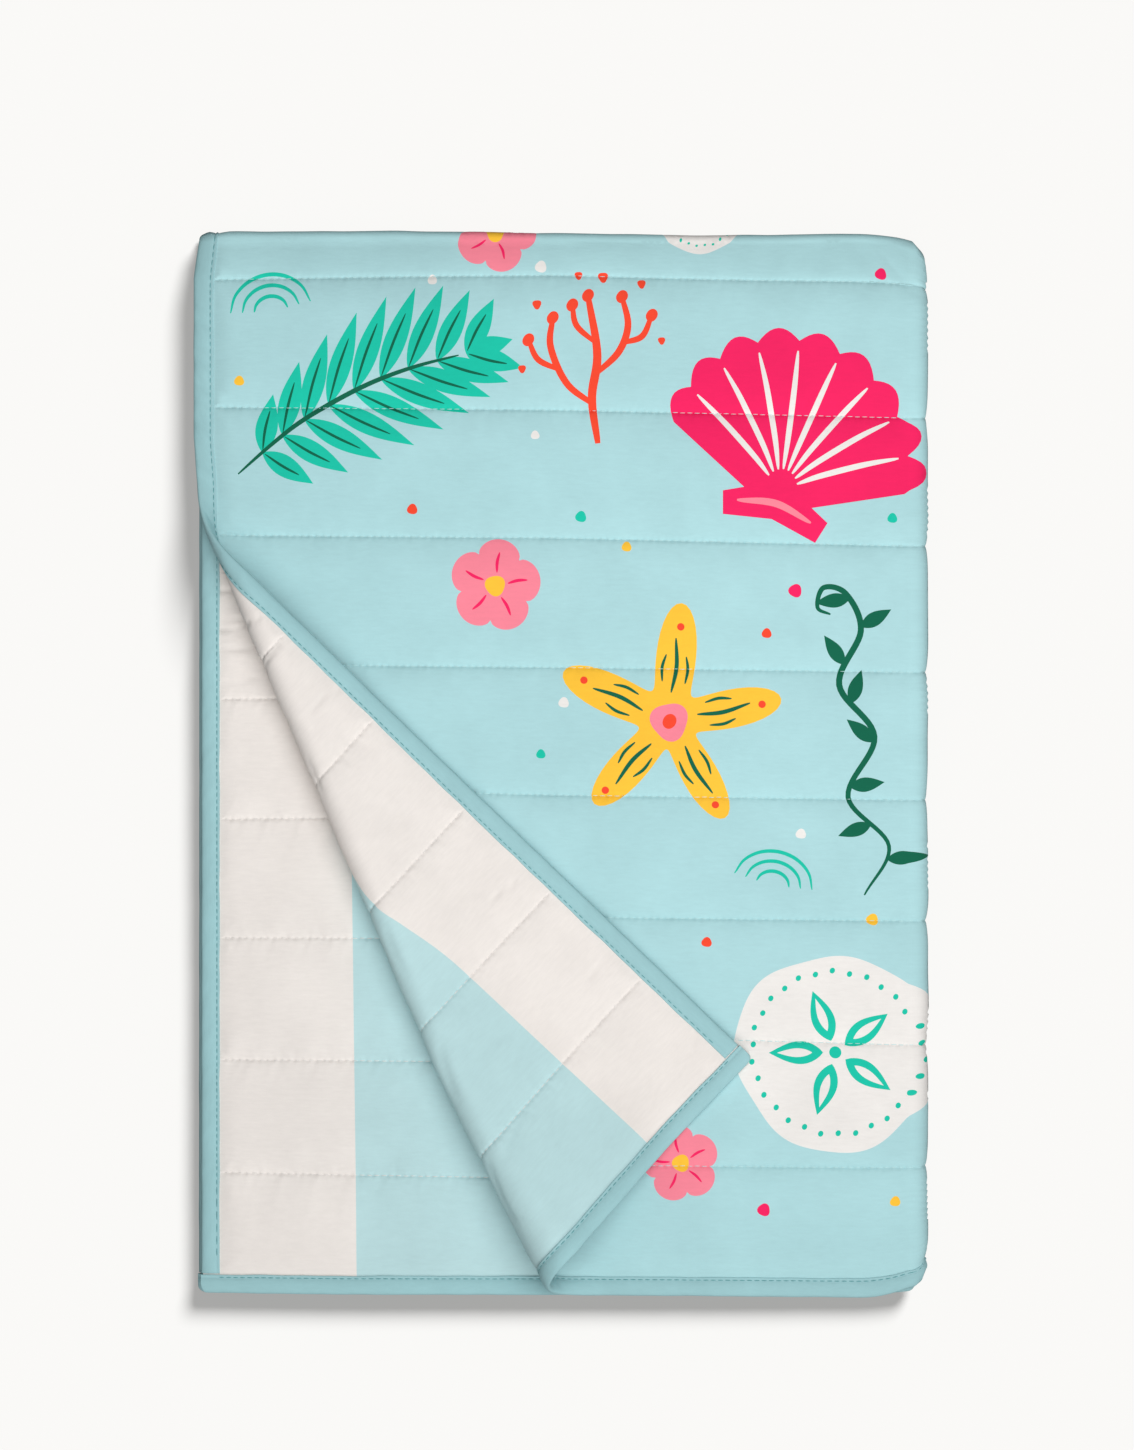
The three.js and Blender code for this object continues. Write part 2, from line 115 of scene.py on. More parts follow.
# Colours, as linear red, green and blue
INK = {
    "ground": (0.428, 0.692, 0.722),
    "teal": (0.010, 0.560, 0.400),
    "dark_green": (0.004, 0.130, 0.070),
    "yellow": (1.000, 0.560, 0.045),
    "red_orange": (0.950, 0.070, 0.030),
    "pink": (0.960, 0.250, 0.330),
    "magenta": (0.930, 0.016, 0.125),
    "cream": (0.850, 0.820, 0.790),
}
BACKING_WHITE = (0.840, 0.790, 0.750)
BACKING_AQUA = (0.500, 0.715, 0.735)
BINDING_COLOUR = (0.345, 0.585, 0.615)
FRONT_THREAD = (0.520, 0.770, 0.780)
BACK_THREAD = (0.800, 0.770, 0.740)
BINDING_THREAD = (0.090, 0.340, 0.360)


# Folding, the same steps as in part.mjs
def table_value(table, at):
    return np.interp(at, list(table), list(table.values()))


def fade(distance, over):
    return np.clip(1 - distance / over, 0, 1) ** 2


def seam_drift(u, v):
    seam = (v - FIRST_SEAM_V) / SEAM_PITCH
    from_edge = np.clip((np.minimum(v, FLAT_LENGTH - v) - EDGE_RISE) / EDGE_RISE, 0, 1)
    from_fold = np.clip((np.abs(v - FLAT_LENGTH / 2) - TOP_BEND / 2) / TOP_BEND, 0, 1)
    total = np.zeros(np.broadcast(u, v).shape)
    for place in range(len(SEAM_DRIFT_AT)):
        near = np.interp(u, SEAM_DRIFT_AT, np.eye(len(SEAM_DRIFT_AT))[place])
        total += near * np.interp(seam, list(SEAM_DRIFT), [row[place] for row in SEAM_DRIFT.values()])
    return from_edge * from_fold * total


def roll_chain(along):
    """The turned-back corner's section: curvature and length of each part, at a place along its line."""
    opened = np.clip((along - ROLL_GROWS_FROM) / ROLL_GROWS_OVER, 0, 1.1) ** ROLL_GROWTH
    size = {key: ROLL_TIGHT[key] + (ROLL_OPEN[key] - ROLL_TIGHT[key]) * opened for key in ROLL_TIGHT}
    over = np.radians(size["over"])
    lifted = size["lift"] * (1 - math.cos(LIFT_ANGLE))
    crest = lifted + size["radius"] * (math.cos(LIFT_ANGLE) + np.cos(over))
    drop = crest - size["landing"] * (1 - np.cos(over)) - LAYER_PITCH
    return (
        (1 / size["lift"], size["lift"] * LIFT_ANGLE),
        (1 / size["radius"], size["radius"] * (math.pi + over - LIFT_ANGLE)),
        (None, drop / np.sin(over)),
        (-1 / size["landing"], size["landing"] * over),
    )


def follow(chain, length):
    """How far out and up a chain leads after a length of cloth, and the slope there."""
    out, up, slope = np.zeros_like(length), np.zeros_like(length), np.zeros_like(length)
    left = length.copy()
    for turn, reach in chain:
        step = np.clip(left, 0, reach)
        if turn is None:
            out += step * np.cos(slope)
            up += step * np.sin(slope)
        else:
            after = slope + turn * step
            out += (np.sin(after) - np.sin(slope)) / turn
            up += (np.cos(slope) - np.cos(after)) / turn
            slope = after
        left -= step
    return out - left, up, slope


def roll_start(chain):
    length = sum(reach for turn, reach in chain)
    return -(length + follow(chain, length)[0]) / 2


def past_line(u, v):
    """Distance past the line that the corner is turned back along."""
    return u * ACROSS[0] + (v - CORNER_START_V) * ACROSS[1]


def turn_corner(u, v, w):
    along = u * ALONG[0] + (v - CORNER_START_V) * ALONG[1]
    across = past_line(u, v)
    chain = roll_chain(along)
    start = roll_start(chain)
    out, up, slope = follow(chain, np.maximum(across - start, 0))
    off = start + out - w * np.sin(slope)
    flat = across <= start
    x = np.where(flat, u, along * ALONG[0] + off * ACROSS[0])
    y = np.where(flat, v, CORNER_START_V + along * ALONG[1] + off * ACROSS[1])
    return x, y, np.where(flat, w, up + w * np.cos(slope))


def trimmed(u, v):
    left = table_value(LEFT_EDGE, v) * fade(u, EDGE_FADE)
    right = table_value(RIGHT_EDGE, v) * fade(FLAT_WIDTH - u, EDGE_FADE)
    bottom = table_value(BOTTOM_EDGE, u) * fade(v, EDGE_FADE)
    top = table_value(TOP_EDGE, u) * fade(FLAT_LENGTH - v, EDGE_FADE)
    return u + left - right, v + bottom - top


def corner_pull(u, y, top_angle):
    from_fold = np.abs(u - RIGHT_FOLD_X - RIGHT_BEND / 2) / (RIGHT_BEND / 2)
    outside = fade((from_fold - 1) * RIGHT_BEND / 2, CORNER_REACH)
    inside = np.clip(1 - from_fold, 0, 1) ** 2
    up, down = (
        (pull["base"] * outside + pull["peak"] * inside) * fade(distance, pull["over"])
        for pull, distance in ((CORNER_RISE, y), (CORNER_DROP, TOP_FOLD_Y - y)))
    return (up - down) * (1 - INNER_EASE * top_angle / math.pi)


def folded(flat_u, flat_v, w):
    """Points of the cloth in the folded throw, in millimetres, from flat places and heights."""
    u, v = trimmed(flat_u, flat_v + seam_drift(flat_u, flat_v))
    x, y, up = turn_corner(u, v, w)
    top_angle = np.clip((v - TOP_FOLD_Y) / TOP_BEND, 0, 1) * math.pi
    height = LAYER_PITCH / 2 + up
    over = top_angle > 0
    past = np.maximum(v - TOP_FOLD_Y - TOP_BEND, 0)
    y = np.where(over, TOP_FOLD_Y + height * np.sin(top_angle) - past, y)
    height = np.where(over, height * np.cos(top_angle), height)
    shape = table_value(TOP_SHAPE, u) * fade(TOP_FOLD_Y - y, TOP_SHAPE_FADE)
    y = y + corner_pull(u, y, top_angle) + shape
    right_angle = np.clip((x - RIGHT_FOLD_X) / RIGHT_BEND, 0, 1) * math.pi
    z = LAYER_PITCH + height
    turned = right_angle > 0
    past = np.maximum(x - RIGHT_FOLD_X - RIGHT_BEND, 0)
    x = np.where(turned, RIGHT_FOLD_X + RIGHT_FOLD_STRETCH * z * np.sin(right_angle) - past, x)
    z = np.where(turned, z * np.cos(right_angle), z) + STACK_MIDDLE
    share = np.clip(z / (2 * STACK_MIDDLE), 0, 1) ** 2
    for size, along_x, along_y, phase in WAVES:
        z = z + share * size * np.sin(along_x * x + along_y * y + phase)
    z = z * (1 - STACK_PRESS * fade(TOP_FOLD_Y - y, PRESS_OVER))
    return np.stack([x - CENTRE[0], y - CENTRE[1], z], axis=-1)


# Quilted surface
def unevenness(at, lengths, phase):
    """A wandering value between about -1 and 1, from waves of a few lengths."""
    waves = [np.sin(2 * math.pi * at / length + phase * (1.7 + index))
             for index, length in enumerate(lengths)]
    return sum(waves) / len(lengths)


def nearest_seam(v):
    return np.clip(np.round((v - FIRST_SEAM_V) / SEAM_PITCH), 0, SEAM_COUNT - 1)


def rise(distance, over, bend):
    """From 0 to 1 over a distance, steep at first."""
    return 1 - (1 - np.clip(distance / over, 0, 1)) ** bend


def inside_binding(u, v):
    return np.minimum(np.minimum(u, FLAT_WIDTH - u), np.minimum(v, FLAT_LENGTH - v)) - BINDING_WIDTH


def fullness(u, v, groove):
    """How full the filling is, from 0 at a seam or an edge to 1. groove is the share gained near a seam."""
    seam = np.abs(v - FIRST_SEAM_V - nearest_seam(v) * SEAM_PITCH)
    puff = groove * (1 - np.exp(-seam / 1.3)) + (1 - groove) * rise(seam, 26.0, 2.4)
    from_fold = np.maximum(np.abs(v - FLAT_LENGTH / 2) - TOP_BEND / 2, 0)
    pressed = 1 - FILLING_PRESS * fade(from_fold, PRESS_OVER)
    return pressed * np.minimum(puff, rise(inside_binding(u, v), 16.0, 2.4))


# Short creases in the backing: u, v, direction in degrees, half length, width and depth
BACK_CREASES = (
    (24, 988, -8, 18, 1.6, 0.9),
    (22, 1008, 4, 15, 1.5, 1.1),
    (20, 1016, -10, 13, 1.3, 0.7),
    (24, 1030, 6, 16, 1.8, 0.8),
    (26, 1052, -4, 14, 2.0, 0.5),
    (20, 1096, 3, 12, 1.6, 0.5),
    (30, 470, 20, 16, 1.8, 0.8),
    (34, 440, -12, 18, 2.0, 0.7),
    (58, 405, 62, 26, 2.4, 0.7),
    (26, 392, 4, 14, 1.8, 0.6),
    (150, 250, 80, 30, 3.0, 0.6),
    (36, 205, 12, 16, 2.0, 0.5),
    (208, 120, 74, 34, 3.2, 0.7),
    (196, 40, 60, 22, 2.4, 0.6),
    (154, 146, -60, 22, 4.0, 1.3),
    (119, 232, -69, 20, 3.2, 0.9),
    (194, 63, -62, 24, 4.0, 1.1),
    (158, 83, -21, 16, 3.0, 0.5),
    (116, 136, 9, 20, 4.0, 0.4),
    (70, 358, -67, 16, 2.4, 0.6),
    (15, 38, -27, 12, 2.4, 0.5),
    (30, 118, -8, 15, 2.0, 0.5),
)


def creases(u, v, table):
    """Narrow dips along short lines."""
    total = np.zeros(np.broadcast(u, v).shape)
    for middle_u, middle_v, direction, reach, width, depth in table:
        angle = math.radians(direction)
        along = (u - middle_u) * math.cos(angle) + (v - middle_v) * math.sin(angle)
        off = (v - middle_v) * math.cos(angle) - (u - middle_u) * math.sin(angle)
        bowed = off + 0.004 * along ** 2
        total -= depth * np.exp(-(bowed / width) ** 2 - (along / reach) ** 4)
    return total


# Lengths of the waves in the puckers, in the cloth drawn towards the seams, and in the filling
PUCKER_WAVES = (8.3, 12.7, 19.1, 31.0)
DRAWN_WAVES = (27.0, 41.0, 63.0)
FILLING_WAVES = ((97.0, 143.0, 61.0), (83.0, 121.0, 57.0))


def sewn_detail(u, v, phase, strength):
    """Dips and puckers that the stitches make next to a seam, and the filling's unevenness.

    phase sets where the waves fall, strength how deep the puckers are."""
    seam = nearest_seam(v)
    away = v - FIRST_SEAM_V - seam * SEAM_PITCH
    distance = np.abs(away)
    beat = np.cos(2 * math.pi * u / STITCH_PITCH)
    dips = -0.16 * (1 + beat) * np.exp(-(distance / 1.1) ** 2) - 0.08 * beat * np.exp(-distance / 2.4)
    side = np.where(away > 0, 0.0, 2.6)
    turn = phase + 0.9 * seam + side
    short = unevenness(u + 0.35 * distance, PUCKER_WAVES, turn)
    puckers = 0.5 * strength * short * np.exp(-distance / 8.0) * (1 - np.exp(-distance / 1.5))
    wide = unevenness(u + 0.2 * away, DRAWN_WAVES, turn)
    drawn = 0.5 * strength * wide * np.exp(-distance / 24.0) * (1 - np.exp(-distance / 4.0))
    across = unevenness(u + 0.4 * v, FILLING_WAVES[0], phase)
    down = unevenness(v - 0.3 * u, FILLING_WAVES[1], phase + 2)
    soft = 0.35 * (across + down) * np.clip(distance / 20, 0, 1)
    return (dips + puckers + drawn + soft) * np.clip(inside_binding(u, v) / 6, 0, 1)


# Soft dips in the printed face near the folds, in the same terms
FRONT_CREASES = (
    (470, 722, -62, 15, 7.0, 0.9),
    (492, 716, -50, 18, 4.0, 0.8),
    (436, 727, -70, 12, 6.0, 0.6),
    (400, 724, 75, 13, 7.0, 0.5),
    (350, 726, -78, 12, 8.0, 0.4),
    (478, 655, 84, 30, 7.0, 0.6),
    (486, 570, 88, 30, 6.0, 0.6),
    (474, 480, 82, 26, 7.0, 0.5),
    (484, 395, 92, 30, 6.0, 0.6),
    (470, 300, 78, 26, 8.0, 0.5),
    (478, 215, 84, 28, 7.0, 0.6),
    (440, 120, 66, 24, 8.0, 0.5),
    (300, 600, 70, 24, 9.0, 0.35),
    (352, 470, 82, 26, 8.0, 0.4),
    (60, 600, 84, 24, 7.0, 0.4),
)


# The uppermost printed face is fuller where nothing presses on it: how much, how far from the flap's
# edge that starts, and over what distance it grows
FREE_PUFF = 1.1
FREE_FROM, FREE_OVER = 6, 24


def uncovered(u, v):
    """From 0 to 1: how far the printed face lies clear of the folds and of the turned-back corner."""
    across = past_line(u, v)
    mirrored_u, mirrored_v = u - 2 * across * ACROSS[0], v - 2 * across * ACROSS[1]
    past_flap = np.clip((np.maximum(-mirrored_u, -mirrored_v) - FREE_FROM) / FREE_OVER, 0, 1)
    before_right = np.clip((RIGHT_FOLD_X - u) / FREE_OVER, 0, 1)
    before_top = np.clip((TOP_FOLD_Y - v) / FREE_OVER, 0, 1)
    return np.where(across < 0, past_flap, 0) * (before_right * before_top)


# The least that either face rises off the middle of the cloth
LEAST_HEIGHT = 0.5


def front_height(u, v):
    """Height of the printed face. The lowest layer, on the floor, is pressed flatter."""
    free = uncovered(u, v)
    puff = (FRONT_PUFF - FRONT_EDGE + FREE_PUFF * free) * fullness(u, v, 0.3)
    height = FRONT_EDGE + puff + sewn_detail(u, v, 0.3, 0.8) + creases(u, v, FRONT_CREASES)
    under = (u > RIGHT_FOLD_X + RIGHT_BEND / 2) & (v <= TOP_FOLD_Y)
    return np.where(under, np.minimum(height, PRESSED), np.maximum(height, LEAST_HEIGHT))


def back_height(u, v):
    height = BACK_EDGE + (BACK_PUFF - BACK_EDGE) * fullness(u, v, 0.5) + sewn_detail(u, v, 1.9, 1.25)
    return -np.maximum(height + creases(u, v, BACK_CREASES), LEAST_HEIGHT)


# Print: outlines of plain motifs in millimetres about their own middle, each with its ink
def closed_curve(radius, count=96):
    """Outline round a middle, from a function that gives its distance at each angle."""
    angle = np.linspace(0, 2 * math.pi, count, endpoint=False)
    reach = radius(angle)
    return np.stack([reach * np.cos(angle), reach * np.sin(angle)], axis=1)


def smooth_line(points, count=24):
    """A curve through a few points."""
    points = np.asarray(points, float)
    at = np.linspace(0, len(points) - 1, count)
    padded = np.vstack([2 * points[0] - points[1], points, 2 * points[-1] - points[-2]])
    index = np.minimum(at.astype(int), len(points) - 2)
    t = (at - index)[:, None]
    a, b, c, d = (padded[index + shift] for shift in range(4))
    squared, cubed = (2 * a - 5 * b + 4 * c - d) * t ** 2, (3 * b - a - 3 * c + d) * t ** 3
    return 0.5 * (2 * b + (c - a) * t + squared + cubed)


def stroke(points, width, count=24, taper=0.25):
    """A brush stroke along a curve, thinner at its ends."""
    line = smooth_line(points, count)
    step = np.gradient(line, axis=0)
    side = np.stack([-step[:, 1], step[:, 0]], axis=1) / np.linalg.norm(step, axis=1)[:, None]
    share = np.linspace(0, 1, count)
    half = width / 2 * (taper + (1 - taper) * np.sin(math.pi * share) ** 0.6)
    return np.vstack([line + side * half[:, None], (line - side * half[:, None])[::-1]])


def leaf_shape(length, width, count=40):
    share = np.linspace(0, 1, count // 2)
    half = width / 2 * np.sin(math.pi * share ** 0.8)
    upper = np.stack([share * length, half], axis=1)
    return np.vstack([upper, upper[::-1][1:-1] * (1, -1)])


def placed(shape, x=0.0, y=0.0, turn=0.0, size=1.0):
    angle = math.radians(turn)
    spin = np.array([[math.cos(angle), math.sin(angle)], [-math.sin(angle), math.cos(angle)]])
    return shape * size @ spin + (x, y)


def five_times(shapes, start=0):
    """Shapes repeated five times round the middle."""
    return [(ink, placed(outline, turn=start + 72 * index)) for index in range(5) for ink, outline in shapes]


def spot(radius, wobble, lobes, count):
    """A small, slightly uneven disc."""
    return closed_curve(lambda a: radius + wobble * np.sin(lobes * a), count)


def scallop():
    """A fan-shaped shell with ribs."""
    lobes = 9
    spread = math.radians(74)
    edge = []
    for angle in np.linspace(-spread, spread, lobes * 10 + 1):
        lobe = abs(math.sin((angle + spread) / (2 * spread) * lobes * math.pi))
        reach = 92 + 7 * lobe - 14 * (angle / spread) ** 2
        edge.append((reach * math.sin(angle), reach * math.cos(angle) - 42))
    base = [(22, -46), (34, -52), (30, -66), (0, -60), (-30, -66), (-34, -52), (-22, -46)]
    shapes = [("magenta", np.array(edge + base))]
    for rib in range(1, lobes):
        angle = -spread + 2 * spread * rib / lobes
        tip = 86 - 14 * (angle / spread) ** 2
        points = [(share * math.sin(angle) * (0.72 + 0.28 * share / tip), share * math.cos(angle) - 42)
                  for share in (14, tip * 0.4, tip * 0.75, tip)]
        shapes.append(("cream", stroke(points, 3.6)))
    shapes.append(("pink", stroke([(-24, -55), (0, -50), (24, -55)], 4.5)))
    return shapes


def starfish():
    """A five-armed star with lines and dots on its arms."""
    body = closed_curve(lambda a: 47 + 29 * np.cos(5 * a) + 4 * np.cos(10 * a) + 2.5 * np.sin(a), 150)
    arm = [("dark_green", stroke([(20, 1), (38, -1), (58, 1.5)], 3.0))]
    for side in (-1, 1):
        arm.append(("dark_green", stroke([(27, 8 * side), (37, 9 * side), (46, 7 * side)], 2.2)))
    arm.append(("red_orange", placed(spot(2.6, 0, 1, 20), x=66, y=-1)))
    middle = [("pink", spot(13, 1.2, 3, 48)), ("red_orange", spot(5, 0.4, 2, 30))]
    return [("yellow", body), *five_times(arm), *middle]


def sand_dollar():
    """A pale disc with a ring of dots and five petals."""
    shapes = [("cream", closed_curve(lambda a: 74 + 1.8 * np.sin(3 * a + 1) + 1.2 * np.sin(7 * a), 160))]
    petal = [("teal", placed(leaf_shape(40, 17), x=9)), ("cream", placed(leaf_shape(26, 6.5), x=17))]
    shapes += five_times(petal, 90)
    for index in range(30):
        centre = placed(np.array([[62.0 - 1.5 * (index % 2), 0.0]]), turn=12 * index)[0]
        shapes.append(("teal", placed(spot(2.1, 0.2, 2, 16), *centre)))
    shapes.append(("teal", spot(4.5, 0, 1, 24)))
    return shapes


def frond():
    """A palm frond: long leaflets along a curved stem, with veins."""
    stem = smooth_line([(-98, -14), (-40, 2), (25, 6), (92, -4)], 40)
    shapes = []
    for index in range(5, 39, 4):
        x, y = stem[index]
        length = 58 * math.sin(math.pi * (index + 4) / 50) + 10
        for side in (-1, 1):
            lean = side * (58 - 0.55 * index)
            shapes.append(("teal", placed(leaf_shape(length, 15), x, y, lean)))
            vein = placed(np.array([(2, 0), (length * 0.4, 0.8 * side), (length * 0.72, 0)]), x, y, lean)
            shapes.append(("dark_green", stroke(vein, 1.9, 16)))
    shapes.append(("teal", placed(leaf_shape(34, 14), *stem[37], turn=-8)))
    shapes.append(("dark_green", stroke(stem[::6], 3.4, 40)))
    shapes.sort(key=lambda shape: shape[0] == "dark_green")
    return shapes


def coral():
    """A branching sprig with round tips and loose dots."""
    branches = [
        ([(0, -58), (-2, -25), (4, 5), (0, 46)], 6.4),
        ([(-1, -30), (-20, -14), (-30, 12), (-27, 32)], 5.2),
        ([(3, -8), (20, 6), (28, 24), (25, 44)], 5.2),
        ([(-26, -4), (-40, 4), (-46, 18)], 4.4),
        ([(24, 12), (38, 16), (46, 30)], 4.4),
        ([(2, 14), (-10, 26), (-12, 40)], 4.4),
    ]
    shapes = [("red_orange", stroke(points, width, taper=0.6)) for points, width in branches]
    shapes += [("red_orange", placed(spot(4.4, 0.5, 2, 24), *points[-1])) for points, width in branches]
    loose = ((-38, 42, 3.2), (-6, 60, 2.8), (12, 58, 3.6), (40, 52, 3.0), (52, 12, 2.6), (-52, -2, 2.8))
    shapes += [("red_orange", placed(spot(1, 0.12, 3, 18), x, y, size=size)) for x, y, size in loose]
    return shapes


def blossom():
    """A small flower of five round petals."""
    shapes = [("pink", closed_curve(lambda a: 24 + 8 * np.abs(np.cos(2.5 * a)) ** 0.6, 110))]
    shapes += five_times([("magenta", stroke([(9, 0), (16, 0.8), (23, 0)], 2.2, 12))])
    shapes.append(("yellow", spot(7, 0.5, 3, 30)))
    return shapes


def arches():
    """Three nested brush arcs."""
    angles = np.linspace(0.12, math.pi - 0.12, 7)
    shapes = []
    for reach in (13.0, 22.0, 31.0):
        arc = [(reach * math.cos(angle), 0.9 * reach * math.sin(angle)) for angle in angles]
        shapes.append(("teal", stroke(arc, 3.0, 30)))
    return shapes


def vine():
    """A curling stem with leaves in pairs and a tendril at its end."""
    stem = [(-8, -120), (14, -84), (-12, -44), (12, -2), (-10, 38), (10, 76), (2, 104), (-14, 110),
            (-20, 96), (-11, 90)]
    line = smooth_line(stem, 100)
    shapes = [("dark_green", stroke(stem, 4.6, 100))]
    for order, index in enumerate(range(8, 70, 8)):
        x, y = line[index]
        step = line[index + 1] - line[index - 1]
        heading = math.degrees(math.atan2(step[1], step[0]))
        lean = heading + (62 if order % 2 else -62)
        shapes.append(("dark_green", placed(leaf_shape(26, 10.5), x, y, lean)))
    return shapes


def dot(radius):
    return closed_curve(lambda a: radius * (1 + 0.08 * np.sin(3 * a + radius)), 24)


# Where each motif is printed on the flat throw: u, v, turn in degrees and size. From the starfish at
# 620, 560 on they lie where the photo doesn't show.
PRINT_LAYOUT = (
    (scallop, 420, 614, -16, 1.12),
    (starfish, 330, 408, 12, 1.0),
    (frond, 112, 628, 24, 1.0),
    (sand_dollar, 446, 172, 20, 0.95),
    (coral, 276, 654, 4, 0.95),
    (vine, 462, 400, 6, 0.95),
    (blossom, 208, 500, 10, 1.0),
    (blossom, 338, 92, 30, 0.85),
    (arches, 52, 688, 8, 0.9),
    (arches, 402, 292, -12, 0.9),
    (blossom, 208, 741, 0, 0.9),
    (sand_dollar, 352, 762, 0, 0.45),
    (coral, 138, 318, 120, 0.9),
    (scallop, 120, 150, 150, 0.8),
    (starfish, 620, 560, 40, 1.0),
    (frond, 760, 660, 160, 1.0),
    (scallop, 880, 470, 20, 1.0),
    (coral, 640, 300, 30, 0.95),
    (frond, 800, 240, 70, 1.0),
    (starfish, 650, 110, 0, 0.9),
    (blossom, 760, 430, 0, 1.0),
    (arches, 900, 640, 20, 0.9),
    (sand_dollar, 900, 120, 0, 0.9),
    (frond, 140, 880, 190, 1.0),
    (scallop, 350, 930, 170, 1.0),
    (sand_dollar, 160, 1110, 40, 0.95),
    (starfish, 400, 1160, 20, 1.0),
    (vine, 250, 1300, 80, 0.95),
    (coral, 90, 1330, 200, 0.95),
    (blossom, 480, 1340, 0, 1.0),
    (frond, 640, 1400, 10, 1.0),
    (scallop, 640, 1180, 150, 1.0),
    (starfish, 840, 1330, 60, 1.0),
    (vine, 560, 930, 10, 0.95),
    (coral, 720, 950, 170, 0.95),
    (sand_dollar, 880, 1060, 10, 0.95),
    (arches, 820, 860, 10, 0.9),
    (blossom, 940, 900, 0, 1.0),
)
# Loose dots between them: ink, u, v and radius
PRINT_DOTS = (
    ("cream", 240, 716, 4.0),
    ("cream", 164, 708, 3.2),
    ("red_orange", 150, 552, 3.6),
    ("teal", 268, 548, 3.8),
    ("yellow", 300, 528, 3.4),
    ("magenta", 418, 500, 4.6),
    ("cream", 256, 420, 3.6),
    ("teal", 240, 384, 3.2),
    ("red_orange", 398, 470, 3.4),
    ("cream", 422, 330, 3.6),
    ("yellow", 472, 268, 4.2),
    ("red_orange", 356, 250, 3.6),
    ("magenta", 396, 60, 4.4),
    ("teal", 276, 48, 3.6),
    ("cream", 300, 140, 4.0),
    ("yellow", 488, 66, 3.6),
    ("cream", 236, 604, 3.0),
    ("yellow", 30, 640, 3.4),
    ("magenta", 478, 716, 4.0),
    ("teal", 486, 552, 3.4),
)
# The print's distance from the cloth's edge
PRINT_MARGIN = 2.0


def printed_shapes():
    """All printed outlines on the flat throw, in the order they are printed."""
    shapes = []
    for motif, u, v, turn, size in PRINT_LAYOUT:
        shapes += [(ink, placed(outline, u, v, turn, size)) for ink, outline in motif()]
    shapes += [(ink, placed(dot(radius), u, v)) for ink, u, v, radius in PRINT_DOTS]
    far_corner = (FLAT_WIDTH - PRINT_MARGIN, FLAT_LENGTH - PRINT_MARGIN)
    return [(ink, np.clip(outline, PRINT_MARGIN, far_corner)) for ink, outline in shapes]


def inside_outline(points, outline):
    """Which points lie inside a closed outline."""
    found = np.zeros(len(points), bool)
    low, high = outline.min(axis=0), outline.max(axis=0)
    near = np.nonzero(((points >= low) & (points <= high)).all(axis=1))[0]
    x, y = points[near].T
    crossings = np.zeros(len(near), bool)
    for (x0, y0), (x1, y1) in zip(outline, np.roll(outline, -1, axis=0)):
        if y0 != y1:
            crossings ^= ((y0 > y) != (y1 > y)) & (x < (x1 - x0) * (y - y0) / (y1 - y0) + x0)
    found[near] = crossings
    return found


# Flat sampling of a panel: closer together where it shows, along the seams and round the bends
BORDER_MARGIN = 1.0
# Rows of points beside each seam: distance from it, and step where the row shows. Elsewhere the step is
# SEAM_STEP, without the row at FINE_ROW. The even grids keep SEAM_CLEAR away.
SEAM_ROWS = ((0, 1.275), (0.7, 1.275), (1.7, 1.275), (3.4, 2.55))
SEAM_STEP, FINE_ROW, SEAM_CLEAR = 5.1, 0.7, 4.5
# The lower left corner, where the inner face needs closer points for the roll
ROLL_WIDTH, ROLL_LENGTH, ROLL_TOP, ROLL_SLOPE = 480, 570, 560, 1.2
# The texture page for baking: its size on the cloth, and the inner face's share of it and place on it
PAGE, INNER_SHARE, INNER_PLACE = 1500.0, 0.4, (0.69, 0.0)


def spread(start, end, step):
    return np.linspace(start, end, max(2, round((end - start) / step) + 1))


def grid(us, vs):
    return np.stack(np.meshgrid(us, vs, indexing="ij"), axis=-1).reshape(-1, 2)


def even_grid(step):
    return grid(spread(0, FLAT_WIDTH, step), spread(0, FLAT_LENGTH, step))


def bend_grids(across, along, step):
    """Points round the right fold and the top fold: distances round each, and step along it."""
    bend_us = np.arange(RIGHT_FOLD_X, RIGHT_FOLD_X + RIGHT_BEND + 0.1, across)
    bend_vs = np.arange(TOP_FOLD_Y, TOP_FOLD_Y + TOP_BEND + 0.1, along)
    return grid(bend_us, spread(0, FLAT_LENGTH, step)), grid(spread(0, FLAT_WIDTH, step), bend_vs)


def off_border(points):
    """The points that lie inside the border by BORDER_MARGIN or more."""
    far_corner = (FLAT_WIDTH - BORDER_MARGIN, FLAT_LENGTH - BORDER_MARGIN)
    return points[((points > BORDER_MARGIN) & (points < far_corner)).all(axis=1)]


def perimeter(step):
    us, vs = spread(0, FLAT_WIDTH, step), spread(0, FLAT_LENGTH, step)
    sides = [np.stack([us[:-1], 0 * us[:-1]], 1), np.stack([0 * vs[:-1] + FLAT_WIDTH, vs[:-1]], 1),
             np.stack([us[:0:-1], 0 * us[1:] + FLAT_LENGTH], 1), np.stack([0 * vs[1:], vs[:0:-1]], 1)]
    return np.vstack(sides)


